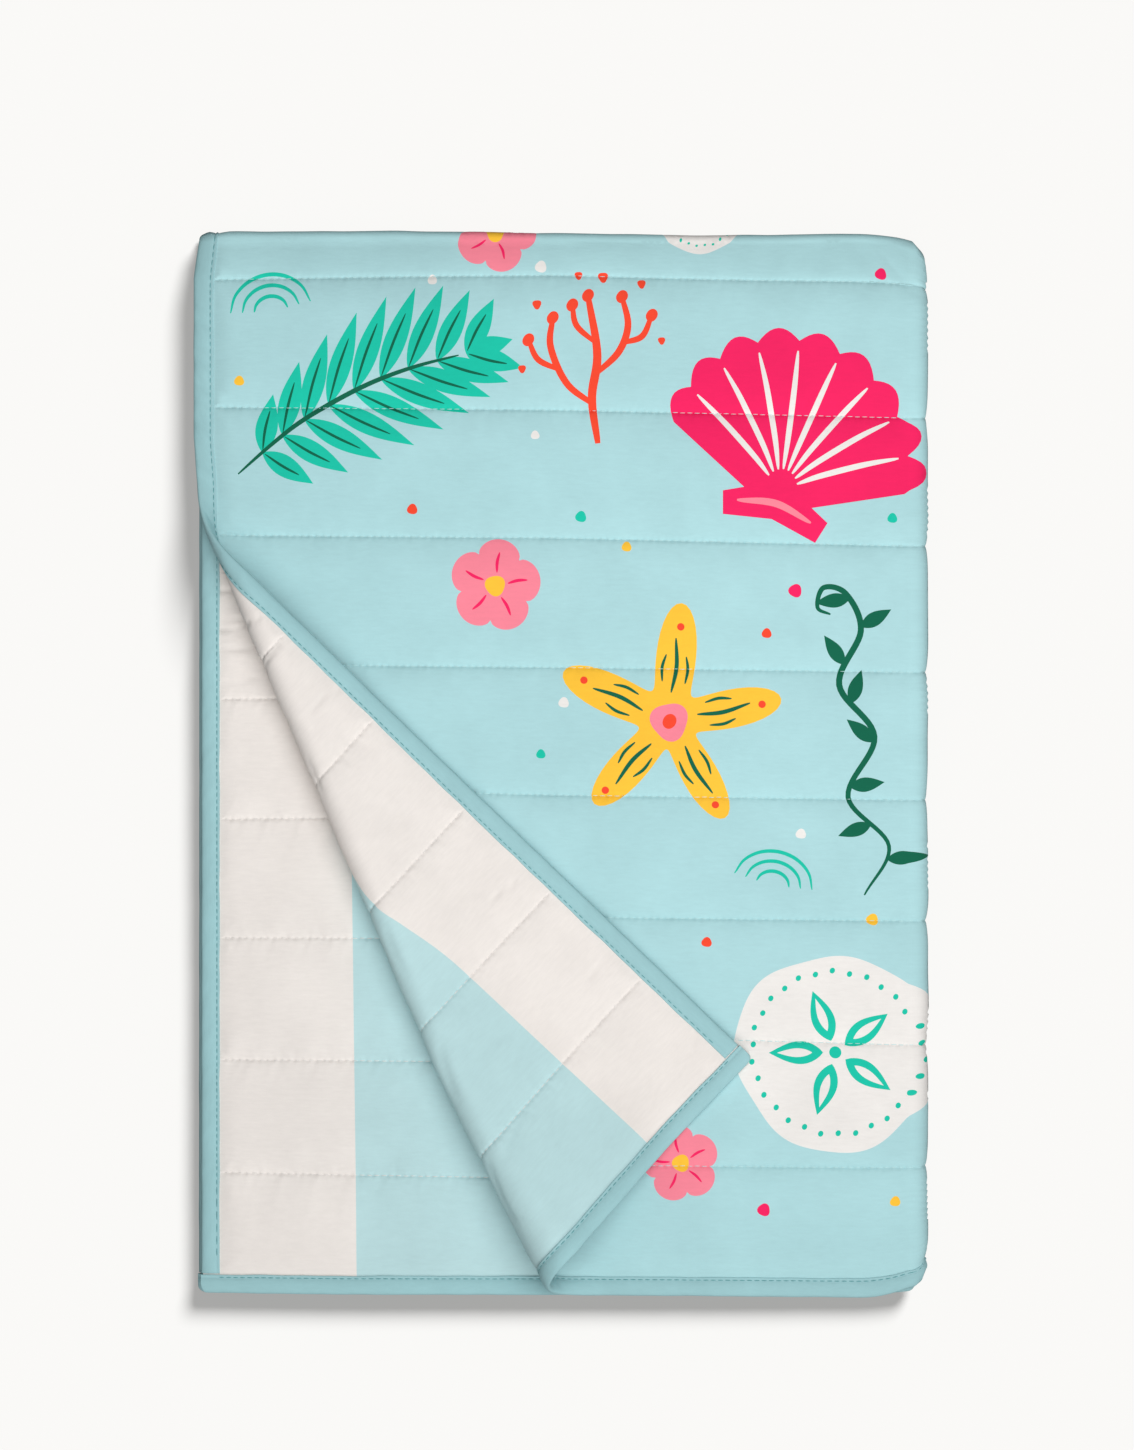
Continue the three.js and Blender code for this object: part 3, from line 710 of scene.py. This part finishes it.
def panel_points(shown, fine, coarse):
    """Flat points of a panel's face. shown(points) tells which of them are in view."""
    near, far = even_grid(fine), even_grid(coarse)
    right_bend, top_bend = bend_grids(1.7, 0.85, 5.0)
    points = np.vstack([near[shown(near)], far[~shown(far)], right_bend])
    in_bend = (points[:, 1] > TOP_FOLD_Y - 1) & (points[:, 1] < TOP_FOLD_Y + TOP_BEND + 1)
    points = np.vstack([points[~in_bend], top_bend])
    seam_v = FIRST_SEAM_V + nearest_seam(points[:, 1]) * SEAM_PITCH
    rows = [points[np.abs(points[:, 1] - seam_v) > SEAM_CLEAR]]
    for seam in range(SEAM_COUNT):
        for offset, step in SEAM_ROWS:
            for side in ((1,) if offset == 0 else (-1, 1)):
                v = FIRST_SEAM_V + seam * SEAM_PITCH + side * offset
                close = grid(np.arange(step, FLAT_WIDTH, step), [v])
                wide = grid(np.arange(SEAM_STEP, FLAT_WIDTH, SEAM_STEP), [v])
                rows.append(close[shown(close)])
                if offset != FINE_ROW:
                    rows.append(wide[~shown(wide)])
    return off_border(np.vstack(rows))


def inner_points():
    """Flat points of the inner face, which only has to stay inside the outer one."""
    fine = grid(spread(0, ROLL_WIDTH, 5), spread(0, ROLL_LENGTH, 5))
    in_roll = fine[:, 1] < ROLL_TOP - ROLL_SLOPE * fine[:, 0]
    return off_border(np.vstack([even_grid(20), *bend_grids(2.9, 1.7, 20), fine[in_roll]]))


def triangulated(points, outlines, step=4.0):
    """Triangles of the flat throw through points, with edges along its border and the outlines."""
    corners, edges = [], []
    for loop in [perimeter(step), *outlines]:
        first = len(corners)
        corners += [tuple(corner) for corner in loop]
        edges += [(first + index, first + (index + 1) % len(loop)) for index in range(len(loop))]
    corners += [tuple(point) for point in points]
    flat, _, faces, *_ = delaunay_2d_cdt([Vector(corner) for corner in corners], edges, [], 0, 1e-4)
    flat = np.array([tuple(corner) for corner in flat])
    return np.clip(flat, 0, (FLAT_WIDTH, FLAT_LENGTH)), np.array(faces)


def border_order(flat):
    """Vertices on the border of the flat throw, in order round it."""
    u, v = flat.T
    tiny = 1e-3
    turns = [
        (v < tiny, u),
        (u > FLAT_WIDTH - tiny, FLAT_WIDTH + v),
        (v > FLAT_LENGTH - tiny, 2 * FLAT_WIDTH + FLAT_LENGTH - u),
        (u < tiny, 2 * FLAT_WIDTH + 2 * FLAT_LENGTH - v),
    ]
    place = np.full(len(flat), -1.0)
    for on_side, distance in turns:
        place = np.where(on_side & (place < 0), distance, place)
    on_border = np.nonzero(place >= 0)[0]
    return on_border[np.argsort(place[on_border])]


def surface_normals(flat, height, outward):
    """Unit normals of a face of the cloth, from how the folded surface changes nearby."""
    reach = 0.3
    u, v = flat.T
    du = folded(u + reach, v, height(u + reach, v)) - folded(u - reach, v, height(u - reach, v))
    dv = folded(u, v + reach, height(u, v + reach)) - folded(u, v - reach, height(u, v - reach))
    normal = np.cross(du, dv) * outward
    return normal / np.linalg.norm(normal, axis=1)[:, None]


def make_object(name, points, faces, normals=None):
    mesh = bpy.data.meshes.new(name)
    points = np.column_stack([points[:, :2], np.maximum(points[:, 2], 0)])
    mesh.from_pydata((points / 1000).tolist(), [], [list(map(int, face)) for face in faces])
    mesh.update()
    mesh.polygons.foreach_set("use_smooth", np.ones(len(mesh.polygons), bool))
    if normals is not None:
        mesh.normals_split_custom_set_from_vertices(normals.tolist())
    obj = bpy.data.objects.new(name, mesh)
    bpy.context.scene.collection.objects.link(obj)
    return obj


def add_uv(obj, name, per_vertex):
    """A UV map from a value for each vertex."""
    layer = obj.data.uv_layers.new(name=name)
    corners = np.zeros(len(obj.data.loops), np.int32)
    obj.data.loops.foreach_get("vertex_index", corners)
    layer.data.foreach_set("uv", per_vertex[corners].astype(np.float32).ravel())


def make_panel(name, height, outward, shown, outlines, inner_height, spacing):
    """A closed panel: a fine outer face, a plain inner face, and a rim that joins them."""
    flat, faces = triangulated(panel_points(shown, *spacing), outlines)
    inner_flat, inner_faces = triangulated(inner_points(), [])
    outer = folded(*flat.T, height(*flat.T))
    inner = folded(*inner_flat.T, np.full(len(inner_flat), inner_height))
    count = len(flat)
    ring, inner_ring = border_order(flat), border_order(inner_flat) + count
    after, inner_after = np.roll(ring, -1), np.roll(inner_ring, -1)
    corners = [(ring, inner_ring, after), (after, inner_ring, inner_after)]
    rim = np.vstack([np.stack(triangle, axis=1) for triangle in corners])
    all_faces = [faces, inner_faces[:, ::-1] + count, rim]
    if outward < 0:
        all_faces = [part[:, ::-1] for part in all_faces]
    normals = np.vstack([
        surface_normals(flat, height, outward),
        surface_normals(inner_flat, lambda u, v: np.full(len(u), inner_height), -outward),
    ])
    obj = make_object(name, np.vstack([outer, inner]), np.vstack(all_faces), normals)
    add_uv(obj, "flat", np.vstack([flat, inner_flat]) / 1000)
    add_uv(obj, "OFBake", np.vstack([flat / PAGE, inner_flat / PAGE * INNER_SHARE + INNER_PLACE]))
    return obj, flat, faces


# Materials
def node_tree(name):
    material = bpy.data.materials.new(name)
    material.use_nodes = True
    tree = material.node_tree
    return material, tree, tree.nodes["Principled BSDF"]


def add_node(tree, kind, values=None, **settings):
    node = tree.nodes.new(kind)
    for key, value in settings.items():
        setattr(node, key, value)
    for key, value in (values or {}).items():
        node.inputs[key].default_value = value
    return node


def maths(tree, operation, *values):
    """A Math node of sockets or numbers."""
    node = add_node(tree, "ShaderNodeMath", operation=operation)
    for socket, value in zip(node.inputs, values):
        if isinstance(value, (int, float)):
            socket.default_value = value
        else:
            tree.links.new(value, socket)
    return node.outputs[0]


def texture(tree, kind, coordinates, values, **settings):
    """The Fac output of a texture node that is laid out by coordinates."""
    node = add_node(tree, kind, values, **settings)
    tree.links.new(coordinates, node.inputs["Vector"])
    return node.outputs["Fac"]


def mixed(tree, share, first, second):
    """A colour between two, by a socket."""
    mix = add_node(tree, "ShaderNodeMix", {6: (*first, 1), 7: (*second, 1)}, data_type="RGBA")
    tree.links.new(share, mix.inputs[0])
    return mix.outputs[2]


# Noise that shades the cloth: scale, detail, roughness, how much it adds, and the level it adds to
SLUBS = (260.0, 4.0, 0.7, 0.13, 0.885)
MOTTLE = (22.0, 3.0, 0.6, 0.15, 0.925)
CLOUDS = (9.0, 2.0, 0.5, 0.12, 0.94)
WEAVE = {"Scale": 620.0, "Distortion": 1.5, "Detail": 2.0, "Detail Scale": 1.5}
CLOTH_SHADER = {"Roughness": 0.82, "Specular IOR Level": 0.15, "Sheen Weight": 0.03, "Sheen Roughness": 0.5}


def weave(tree, shader, coordinates, colour):
    """Fine plain weave, slubs and slow mottles over a colour socket, in metres of flat cloth."""
    threads = [texture(tree, "ShaderNodeTexWave", coordinates, WEAVE, wave_type="BANDS", bands_direction=way)
               for way in ("X", "Y")]
    stretch = add_node(tree, "ShaderNodeMapping", {"Scale": (0.35, 1.6, 1.0)})
    tree.links.new(coordinates, stretch.inputs["Vector"])
    noises, shades = [], []
    for place, noise in ((stretch.outputs[0], SLUBS), (coordinates, MOTTLE), (coordinates, CLOUDS)):
        settings = dict(zip(("Scale", "Detail", "Roughness"), noise))
        noises.append(texture(tree, "ShaderNodeTexNoise", place, settings))
        shades.append(maths(tree, "MULTIPLY_ADD", noises[-1], *noise[3:]))
    value = maths(tree, "MULTIPLY", maths(tree, "MULTIPLY", *shades[:2]), shades[2])
    scaled = add_node(tree, "ShaderNodeVectorMath", operation="SCALE")
    tree.links.new(colour, scaled.inputs[0])
    tree.links.new(value, scaled.inputs["Scale"])
    tree.links.new(scaled.outputs[0], shader.inputs["Base Color"])
    crossings = maths(tree, "MULTIPLY", *threads)
    relief = maths(tree, "ADD", maths(tree, "MULTIPLY", crossings, 0.4), noises[0])
    bump = add_node(tree, "ShaderNodeBump", {"Strength": 0.35, "Distance": 0.0004})
    tree.links.new(relief, bump.inputs["Height"])
    tree.links.new(bump.outputs["Normal"], shader.inputs["Normal"])
    for name, value in CLOTH_SHADER.items():
        shader.inputs[name].default_value = value


def flat_coordinates(tree):
    return add_node(tree, "ShaderNodeUVMap", uv_map="flat").outputs["UV"]


def print_material():
    material, tree, shader = node_tree("printed_cotton")
    colour = add_node(tree, "ShaderNodeVertexColor", layer_name="print")
    weave(tree, shader, flat_coordinates(tree), colour.outputs["Color"])
    return material


# Where the backing's stripes begin, across the throw, aqua and white in turn, and how far they lean
STRIPE_EDGES = (93.0, 253.0, 413.0, 583.0, 743.0, 903.0)
STRIPE_SLANT = 18.0 / 1484.0
# They are drawn aside near the crest of the turned-back corner: how far, at which v, and over what length
STRIPE_SWAY = {"by": 8.5, "at": 265.0, "over": 45.0}


def backing_material():
    material, tree, shader = node_tree("striped_cotton")
    coordinates = flat_coordinates(tree)
    parts = add_node(tree, "ShaderNodeSeparateXYZ")
    tree.links.new(coordinates, parts.inputs[0])
    u, v = parts.outputs[:2]
    across = maths(tree, "SUBTRACT", u, maths(tree, "MULTIPLY", v, STRIPE_SLANT))
    from_sway = maths(tree, "ABSOLUTE", maths(tree, "SUBTRACT", v, STRIPE_SWAY["at"] / 1000))
    squared = maths(tree, "POWER", from_sway, 2)
    falloff = maths(tree, "EXPONENT", maths(tree, "DIVIDE", squared, -(STRIPE_SWAY["over"] / 1000) ** 2))
    across = maths(tree, "SUBTRACT", across, maths(tree, "MULTIPLY", falloff, STRIPE_SWAY["by"] / 1000))
    aqua = maths(tree, "GREATER_THAN", across, STRIPE_EDGES[0] / 1000)
    for index, edge in enumerate(STRIPE_EDGES[1:]):
        passed = maths(tree, "GREATER_THAN", across, edge / 1000)
        aqua = maths(tree, "ADD" if index % 2 else "SUBTRACT", aqua, passed)
    weave(tree, shader, coordinates, mixed(tree, aqua, BACKING_WHITE, BACKING_AQUA))
    return material


def plain_material(name, colour):
    material, tree, shader = node_tree(name)
    base = add_node(tree, "ShaderNodeRGB")
    base.outputs[0].default_value = (*colour, 1)
    weave(tree, shader, flat_coordinates(tree), base.outputs[0])
    return material


def thread_material(name, colour):
    """Twisted cotton thread: fine slanted bands along each stitch, painted darker as shade between the plies."""
    material, tree, shader = node_tree(name)
    painted_ply_shade = texture(tree, "ShaderNodeTexWave", flat_coordinates(tree), {"Scale": 900.0, "Distortion": 0.5},
                    wave_type="BANDS", bands_direction="DIAGONAL")
    # The thread's own colour, with painted shade in the slanted bands between the twisted plies
    base = mixed(tree, painted_ply_shade, [0.82 * part for part in colour], colour)
    tree.links.new(base, shader.inputs["Base Color"])
    shader.inputs["Roughness"].default_value = 0.55
    shader.inputs["Sheen Weight"].default_value = 0.2
    return material


# Panels
def past_mirror(points, margin):
    """How the flat points lie against the line where the corner turns back."""
    across = points[:, 0] * ACROSS[0] + (points[:, 1] - CORNER_START_V) * ACROSS[1]
    return across > -margin


def front_shown(points):
    return (points[:, 0] < 520) & (points[:, 1] < 760)


def back_shown(points):
    flap = past_mirror(points, 60.0) & (points[:, 1] < 600)
    below = (points[:, 1] > 930) & (points[:, 0] < 350)
    return flap | below


# Distance between a panel's points where it shows and elsewhere
FRONT_SPACING = (4.8, 14.0)
BACK_SPACING = (3.4, 9.0)
shapes = printed_shapes()
front, front_flat, front_faces = make_panel(
    "printed_face", front_height, 1, front_shown, [outline for ink, outline in shapes], GAP / 2, FRONT_SPACING)
back = make_panel("striped_face", back_height, -1, back_shown, [], -GAP / 2, BACK_SPACING)[0]


def paint_print(obj, flat, faces, shapes):
    """Gives each triangle of the printed face the ink of the last outline that it lies in."""
    middles = flat[faces].mean(axis=1)
    colours = np.tile((*INK["ground"], 1.0), (len(obj.data.polygons), 1))
    for ink, outline in shapes:
        colours[np.nonzero(inside_outline(middles, outline))[0]] = (*INK[ink], 1.0)
    layer = obj.data.color_attributes.new("print", "FLOAT_COLOR", "CORNER")
    layer.data.foreach_set("color", np.repeat(colours, 3, axis=0).astype(np.float32).ravel())


paint_print(front, front_flat, front_faces, shapes)
front.data.materials.append(print_material())
back.data.materials.append(backing_material())

# Bindings: a strip folded round the edge, stitched near its inner edges
STITCH_LINE = 10.2
# Its face: distance in from the cloth's edge, and height above the cloth under it
BINDING_FACE = (
    (11.9, 0.02), (12.2, 0.4), (11.9, 0.8), (11.1, 0.9), (10.2, 0.35), (9.3, 0.85), (7.8, 1.3),
    (5.6, 1.5), (3.4, 1.35), (1.4, 0.95), (0.0, 0.4),
)


def binding_section():
    """The strip's section, all round: the front face, the rounded edge, the back face, the inside."""
    front_under, back_under = FRONT_EDGE + GAP / 2, BACK_EDGE + GAP / 2
    outer = [(inward, front_under + height) for inward, height in BINDING_FACE]
    outer += [(-0.95, 0.8), (-1.2, 0.0), (-0.95, -0.8)]
    outer += [(inward, -back_under - height) for inward, height in reversed(BINDING_FACE)]
    inner = [(6.0, -back_under), (0.2, -back_under), (-0.5, 0.0), (0.2, front_under), (6.0, front_under)]
    return np.array(outer + inner)


def make_binding(name, length, place, pucker, end_rounding):
    """A binding strip. place(along, inward, height) gives its points in the folded throw."""
    section = binding_section()
    size = len(section)
    alongs = spread(0, length, 3.0)
    if end_rounding:
        near = end_rounding * np.array([0.06, 0.15, 0.3, 0.5, 0.75])
        alongs = np.unique(np.concatenate([alongs, near, length - near]))
    along, inward = np.meshgrid(alongs, section[:, 0], indexing="ij")
    height = np.broadcast_to(section[:, 1], along.shape).copy()
    face = np.clip((inward + 1.0) / 3, 0, 1) * np.clip((STITCH_LINE - inward) / 3, 0, 1)
    outside = np.arange(size) < 2 * len(BINDING_FACE) + 3
    slant = unevenness(along + 1.1 * inward, (9.3, 13.9, 23.0), 0.8)
    beat = np.cos(2 * math.pi * along / STITCH_PITCH) * np.exp(-np.abs(inward - STITCH_LINE) / 1.6)
    relief = pucker(along) * slant * face - 0.12 * beat * np.clip(inward / 4, 0, 1)
    height += np.where(outside, np.sign(height) * relief, 0)
    wander = 0.3 * unevenness(along, (47.0, 83.0, 29.0), 1.3)
    shifted = inward + np.where(outside & (inward > 8), wander, 0)
    shifted = shifted + np.where(outside & (inward < 0), -0.5 * wander, 0)
    if end_rounding:
        to_end = np.clip(1 - np.minimum(along, length - along) / end_rounding, 0, 1)
        shifted = shifted + end_rounding * (1 - np.sqrt(1 - to_end ** 2)) * np.clip(1 - inward / 9, 0, 1)
    points = place(along.ravel(), shifted.ravel(), height.ravel())
    at = np.arange(len(alongs) * size).reshape(len(alongs), size)
    around = np.roll(at, -1, axis=1)
    quads = np.stack([at[:-1], around[:-1], around[1:], at[1:]], axis=-1).reshape(-1, 4)
    faces = [list(quad) for quad in quads] + [list(at[0][::-1]), list(at[-1])]
    obj = make_object(name, points, faces)
    obj.data.validate()
    shape = np.stack([along.ravel(), np.cumsum(np.broadcast_to(np.hypot(
        *np.diff(section, axis=0, prepend=section[:1]).T), along.shape), axis=1).ravel()], axis=1)
    add_uv(obj, "flat", shape / 1000)
    return obj


END_GAP = BINDING_WIDTH + GAP
SIDE_LENGTH = FLAT_LENGTH - 2 * END_GAP
END_OVERHANG = 1.7
END_LENGTH = FLAT_WIDTH + 2 * END_OVERHANG
BINDINGS = {
    "left": (SIDE_LENGTH, lambda along, inward, height: folded(inward, along + END_GAP, height)),
    "right": (SIDE_LENGTH, lambda along, inward, height: folded(FLAT_WIDTH - inward, along + END_GAP, height)),
    "bottom": (END_LENGTH, lambda along, inward, height: folded(along - END_OVERHANG, inward, height)),
    "top": (END_LENGTH, lambda along, inward, height: folded(along - END_OVERHANG, FLAT_LENGTH - inward, height)),
}
END_ROUNDING = 4.5
PUCKER = 0.32
# The left strip is drawn into slanted folds just above the turned-back corner
LEFT_FOLDS = {"middle": 618.0, "reach": 82.0, "extra": 0.8}


def pucker_height(side):
    """How high the strip's slanted puckers are along its length."""
    extra = LEFT_FOLDS["extra"] if side == "left" else 0.0
    return lambda along: PUCKER + extra * np.exp(-((along - LEFT_FOLDS["middle"]) / LEFT_FOLDS["reach"]) ** 2)


binding_material = plain_material("binding_cotton", BINDING_COLOUR)
bindings = {}
for side, (length, place) in BINDINGS.items():
    rounding = 0 if side in ("left", "right") else END_ROUNDING
    strip = make_binding("binding_strip_" + side, length, place, pucker_height(side), rounding)
    strip.data.materials.append(binding_material)
    bindings[side] = strip


# Stitches: a small spindle of thread between each two holes
def make_stitches(name, starts, ends, lift):
    """Stitches between pairs of points, standing off along lift."""
    middle = (starts + ends) / 2
    forward = ends - starts
    forward /= np.linalg.norm(forward, axis=1)[:, None]
    side = np.cross(lift, forward)
    side /= np.linalg.norm(side, axis=1)[:, None]
    up = np.cross(forward, side)
    rings = []
    for share, thick in ((0.12, 0.7), (0.5, 1.0), (0.88, 0.7)):
        centre = starts + (ends - starts) * share + up * (0.25 * (1 - abs(2 * share - 1)))
        for turn in range(5):
            angle = 2 * math.pi * turn / 5
            offset = side * math.cos(angle) + up * math.sin(angle)
            rings.append(centre + offset * THREAD_RADIUS * thick)
    tips = [starts - up * 0.3, ends - up * 0.3]
    points = np.stack(tips[:1] + rings + tips[1:], axis=1)
    faces = []
    for turn in range(5):
        after = (turn + 1) % 5
        faces.append((0, 1 + after, 1 + turn))
        for ring in range(2):
            here, there = 1 + 5 * ring, 6 + 5 * ring
            faces.append((here + turn, here + after, there + after))
            faces.append((here + turn, there + after, there + turn))
        faces.append((11 + turn, 11 + after, 16))
    faces = np.array(faces)
    each = points.shape[1]
    all_faces = (faces[None] + (np.arange(len(starts)) * each)[:, None, None]).reshape(-1, 3)
    obj = make_object(name, points.reshape(-1, 3), all_faces)
    along = np.array([0] + [share for share in (0.6, 2.0, 3.5) for turn in range(5)] + [4.1])
    around = np.array([0] + [0.4 * turn for ring in range(3) for turn in range(5)] + [0])
    uv = np.stack([np.tile(along, len(starts)), np.tile(around, len(starts))], axis=1)
    add_uv(obj, "flat", uv / 1000)
    return obj


def quilting_stitches(name, height, outward, reach):
    """Stitches along every quilting seam, on one face of the throw."""
    starts = np.arange(END_GAP, FLAT_WIDTH - END_GAP, STITCH_PITCH) + 0.5
    starts = (np.round(starts / STITCH_PITCH) + 0.1) * STITCH_PITCH
    v = FIRST_SEAM_V + SEAM_PITCH * np.arange(SEAM_COUNT)
    u, v = (part.ravel() for part in np.meshgrid(starts, v))
    wobble = 0.12 * np.sin(u * 1.9 + v)
    place = lambda at: folded(at, v + wobble, height(at, v) + outward * reach)
    first, last = place(u), place(u + STITCH_LENGTH)
    lift = surface_normals(np.stack([u + STITCH_LENGTH / 2, v], 1), lambda a, b: np.zeros(len(a)), outward)
    return make_stitches(name, first, last, lift)


front_stitches = quilting_stitches("quilting_front", front_height, 1, 0.2)
back_stitches = quilting_stitches("quilting_back", back_height, -1, 0.2)
front_stitches.data.materials.append(thread_material("pale_thread", FRONT_THREAD))
back_stitches.data.materials.append(thread_material("white_thread", BACK_THREAD))


def binding_stitches(length, place):
    """Ends and lift of the stitches along both faces of a binding strip."""
    along = np.arange(END_GAP, length - END_GAP, STITCH_PITCH)
    sets = []
    for side, under in ((1, FRONT_EDGE), (-1, BACK_EDGE)):
        level = np.full(len(along), side * (under + GAP / 2 + 0.5))
        inward = np.full(len(along), STITCH_LINE)
        first = place(along + 0.5, inward, level)
        last = place(along + 0.5 + STITCH_LENGTH, inward, level)
        lift = place(along, inward, level + side * 1.0) - place(along, inward, level)
        sets.append((first, last, lift))
    return [np.vstack(parts) for parts in zip(*sets)]


binding_thread = thread_material("aqua_thread", BINDING_THREAD)
sewn = {}
for side, (length, place) in BINDINGS.items():
    sewn[side] = make_stitches("binding_stitches_" + side, *binding_stitches(length, place))
    sewn[side].data.materials.append(binding_thread)

# What each piece is, what it replaces and what it rests on
PANELS = ((front, "front_panel", "printed_front"), (back, "back_panel", "striped_backing"))
for panel, node, finish in PANELS:
    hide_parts(node)
for side, strip in bindings.items():
    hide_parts("binding_" + side)
for piece in [front, back, front_stitches, back_stitches, *bindings.values(), *sewn.values()]:
    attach(piece, "root")

# Floor and camera
FLOOR_COLOUR = (0.947, 0.939, 0.922)
FLOOR_REFLECTS, FLOOR_GLOWS = 0.22, 0.372
bpy.ops.mesh.primitive_plane_add(size=12, location=(0, 0, -0.0002))
floor = bpy.context.object
floor.name = "floor"
floor_material, floor_tree, floor_shader = node_tree("pale_floor")
floor_shader.inputs["Base Color"].default_value = (*[FLOOR_REFLECTS * part for part in FLOOR_COLOUR], 1)
floor_shader.inputs["Roughness"].default_value = 1.0
floor_shader.inputs["Specular IOR Level"].default_value = 0.0
floor_shader.inputs["Emission Color"].default_value = (*FLOOR_COLOUR, 1)
floor_shader.inputs["Emission Strength"].default_value = FLOOR_GLOWS
floor.data.materials.append(floor_material)
floor.visible_diffuse = False

camera_data = bpy.data.cameras.new("camera")
camera_data.sensor_width = 36.0
camera_data.lens = 36.0 * CAMERA_HEIGHT / (PHOTO_HEIGHT * MM_PER_PIXEL / 1000)
camera_data.clip_end = 50.0
camera = bpy.data.objects.new("camera", camera_data)
camera.location = (VIEW_CENTRE[0] / 1000, VIEW_CENTRE[1] / 1000, CAMERA_HEIGHT + 0.024)
bpy.context.scene.collection.objects.link(camera)
bpy.context.scene.camera = camera

# Light: a soft box almost straight above the cloth, a weak low light from the photo's lower side, and
# one on the floor from the upper right, whose shadow three of the binding strips cast.
# Azimuth is where a light stands: 0 at +X, 90 at +Y.
def light_group(name, objects):
    group = bpy.data.collections.new(name)
    for obj in objects:
        group.objects.link(obj)
    return group


def aimed_light(name, kind, azimuth, elevation, distance, receivers, blockers=()):
    data = bpy.data.lights.new(name, kind)
    light = bpy.data.objects.new(name, data)
    a, e = math.radians(azimuth), math.radians(elevation)
    towards = Vector((math.cos(a) * math.cos(e), math.sin(a) * math.cos(e), math.sin(e)))
    light.rotation_euler = towards.to_track_quat("Z", "Y").to_euler()
    light.location = towards * distance
    bpy.context.scene.collection.objects.link(light)
    light.light_linking.receiver_collection = light_group(name + "_receivers", receivers)
    if blockers:
        light.light_linking.blocker_collection = light_group(name + "_blockers", blockers)
    return data


def soft_box(name, azimuth, elevation, distance, size, level, receivers):
    """A square light that gives a level white surface facing up about this brightness."""
    data = aimed_light(name, "AREA", azimuth, elevation, distance, receivers)
    data.size = size
    data.energy = level / math.sin(math.radians(elevation)) * (math.pi * distance) ** 2


def soft_sun(name, azimuth, elevation, softness, level, receivers, blockers=()):
    data = aimed_light(name, "SUN", azimuth, elevation, 3.0, receivers, blockers)
    data.angle = math.radians(softness)
    data.energy = level / math.sin(math.radians(elevation)) * math.pi


cloth = [front, back, front_stitches, back_stitches, *bindings.values(), *sewn.values()]
soft_box("top_box", 10, 80, 1.3, 1.1, 0.765, cloth)
soft_sun("low_light", -72, 38, 40, 0.25, cloth)
soft_sun("floor_light", 59, 39.5, 24, 2.68, [floor], [bindings[side] for side in ("left", "right", "top")])
WORLD_LEVEL = 0.22
world = bpy.data.worlds.new("studio")
world.use_nodes = True
world.node_tree.nodes["Background"].inputs["Color"].default_value = (1.0, 0.998, 0.992, 1)
world.node_tree.nodes["Background"].inputs["Strength"].default_value = WORLD_LEVEL
bpy.context.scene.world = world
bpy.context.scene.view_settings.view_transform = "Standard"
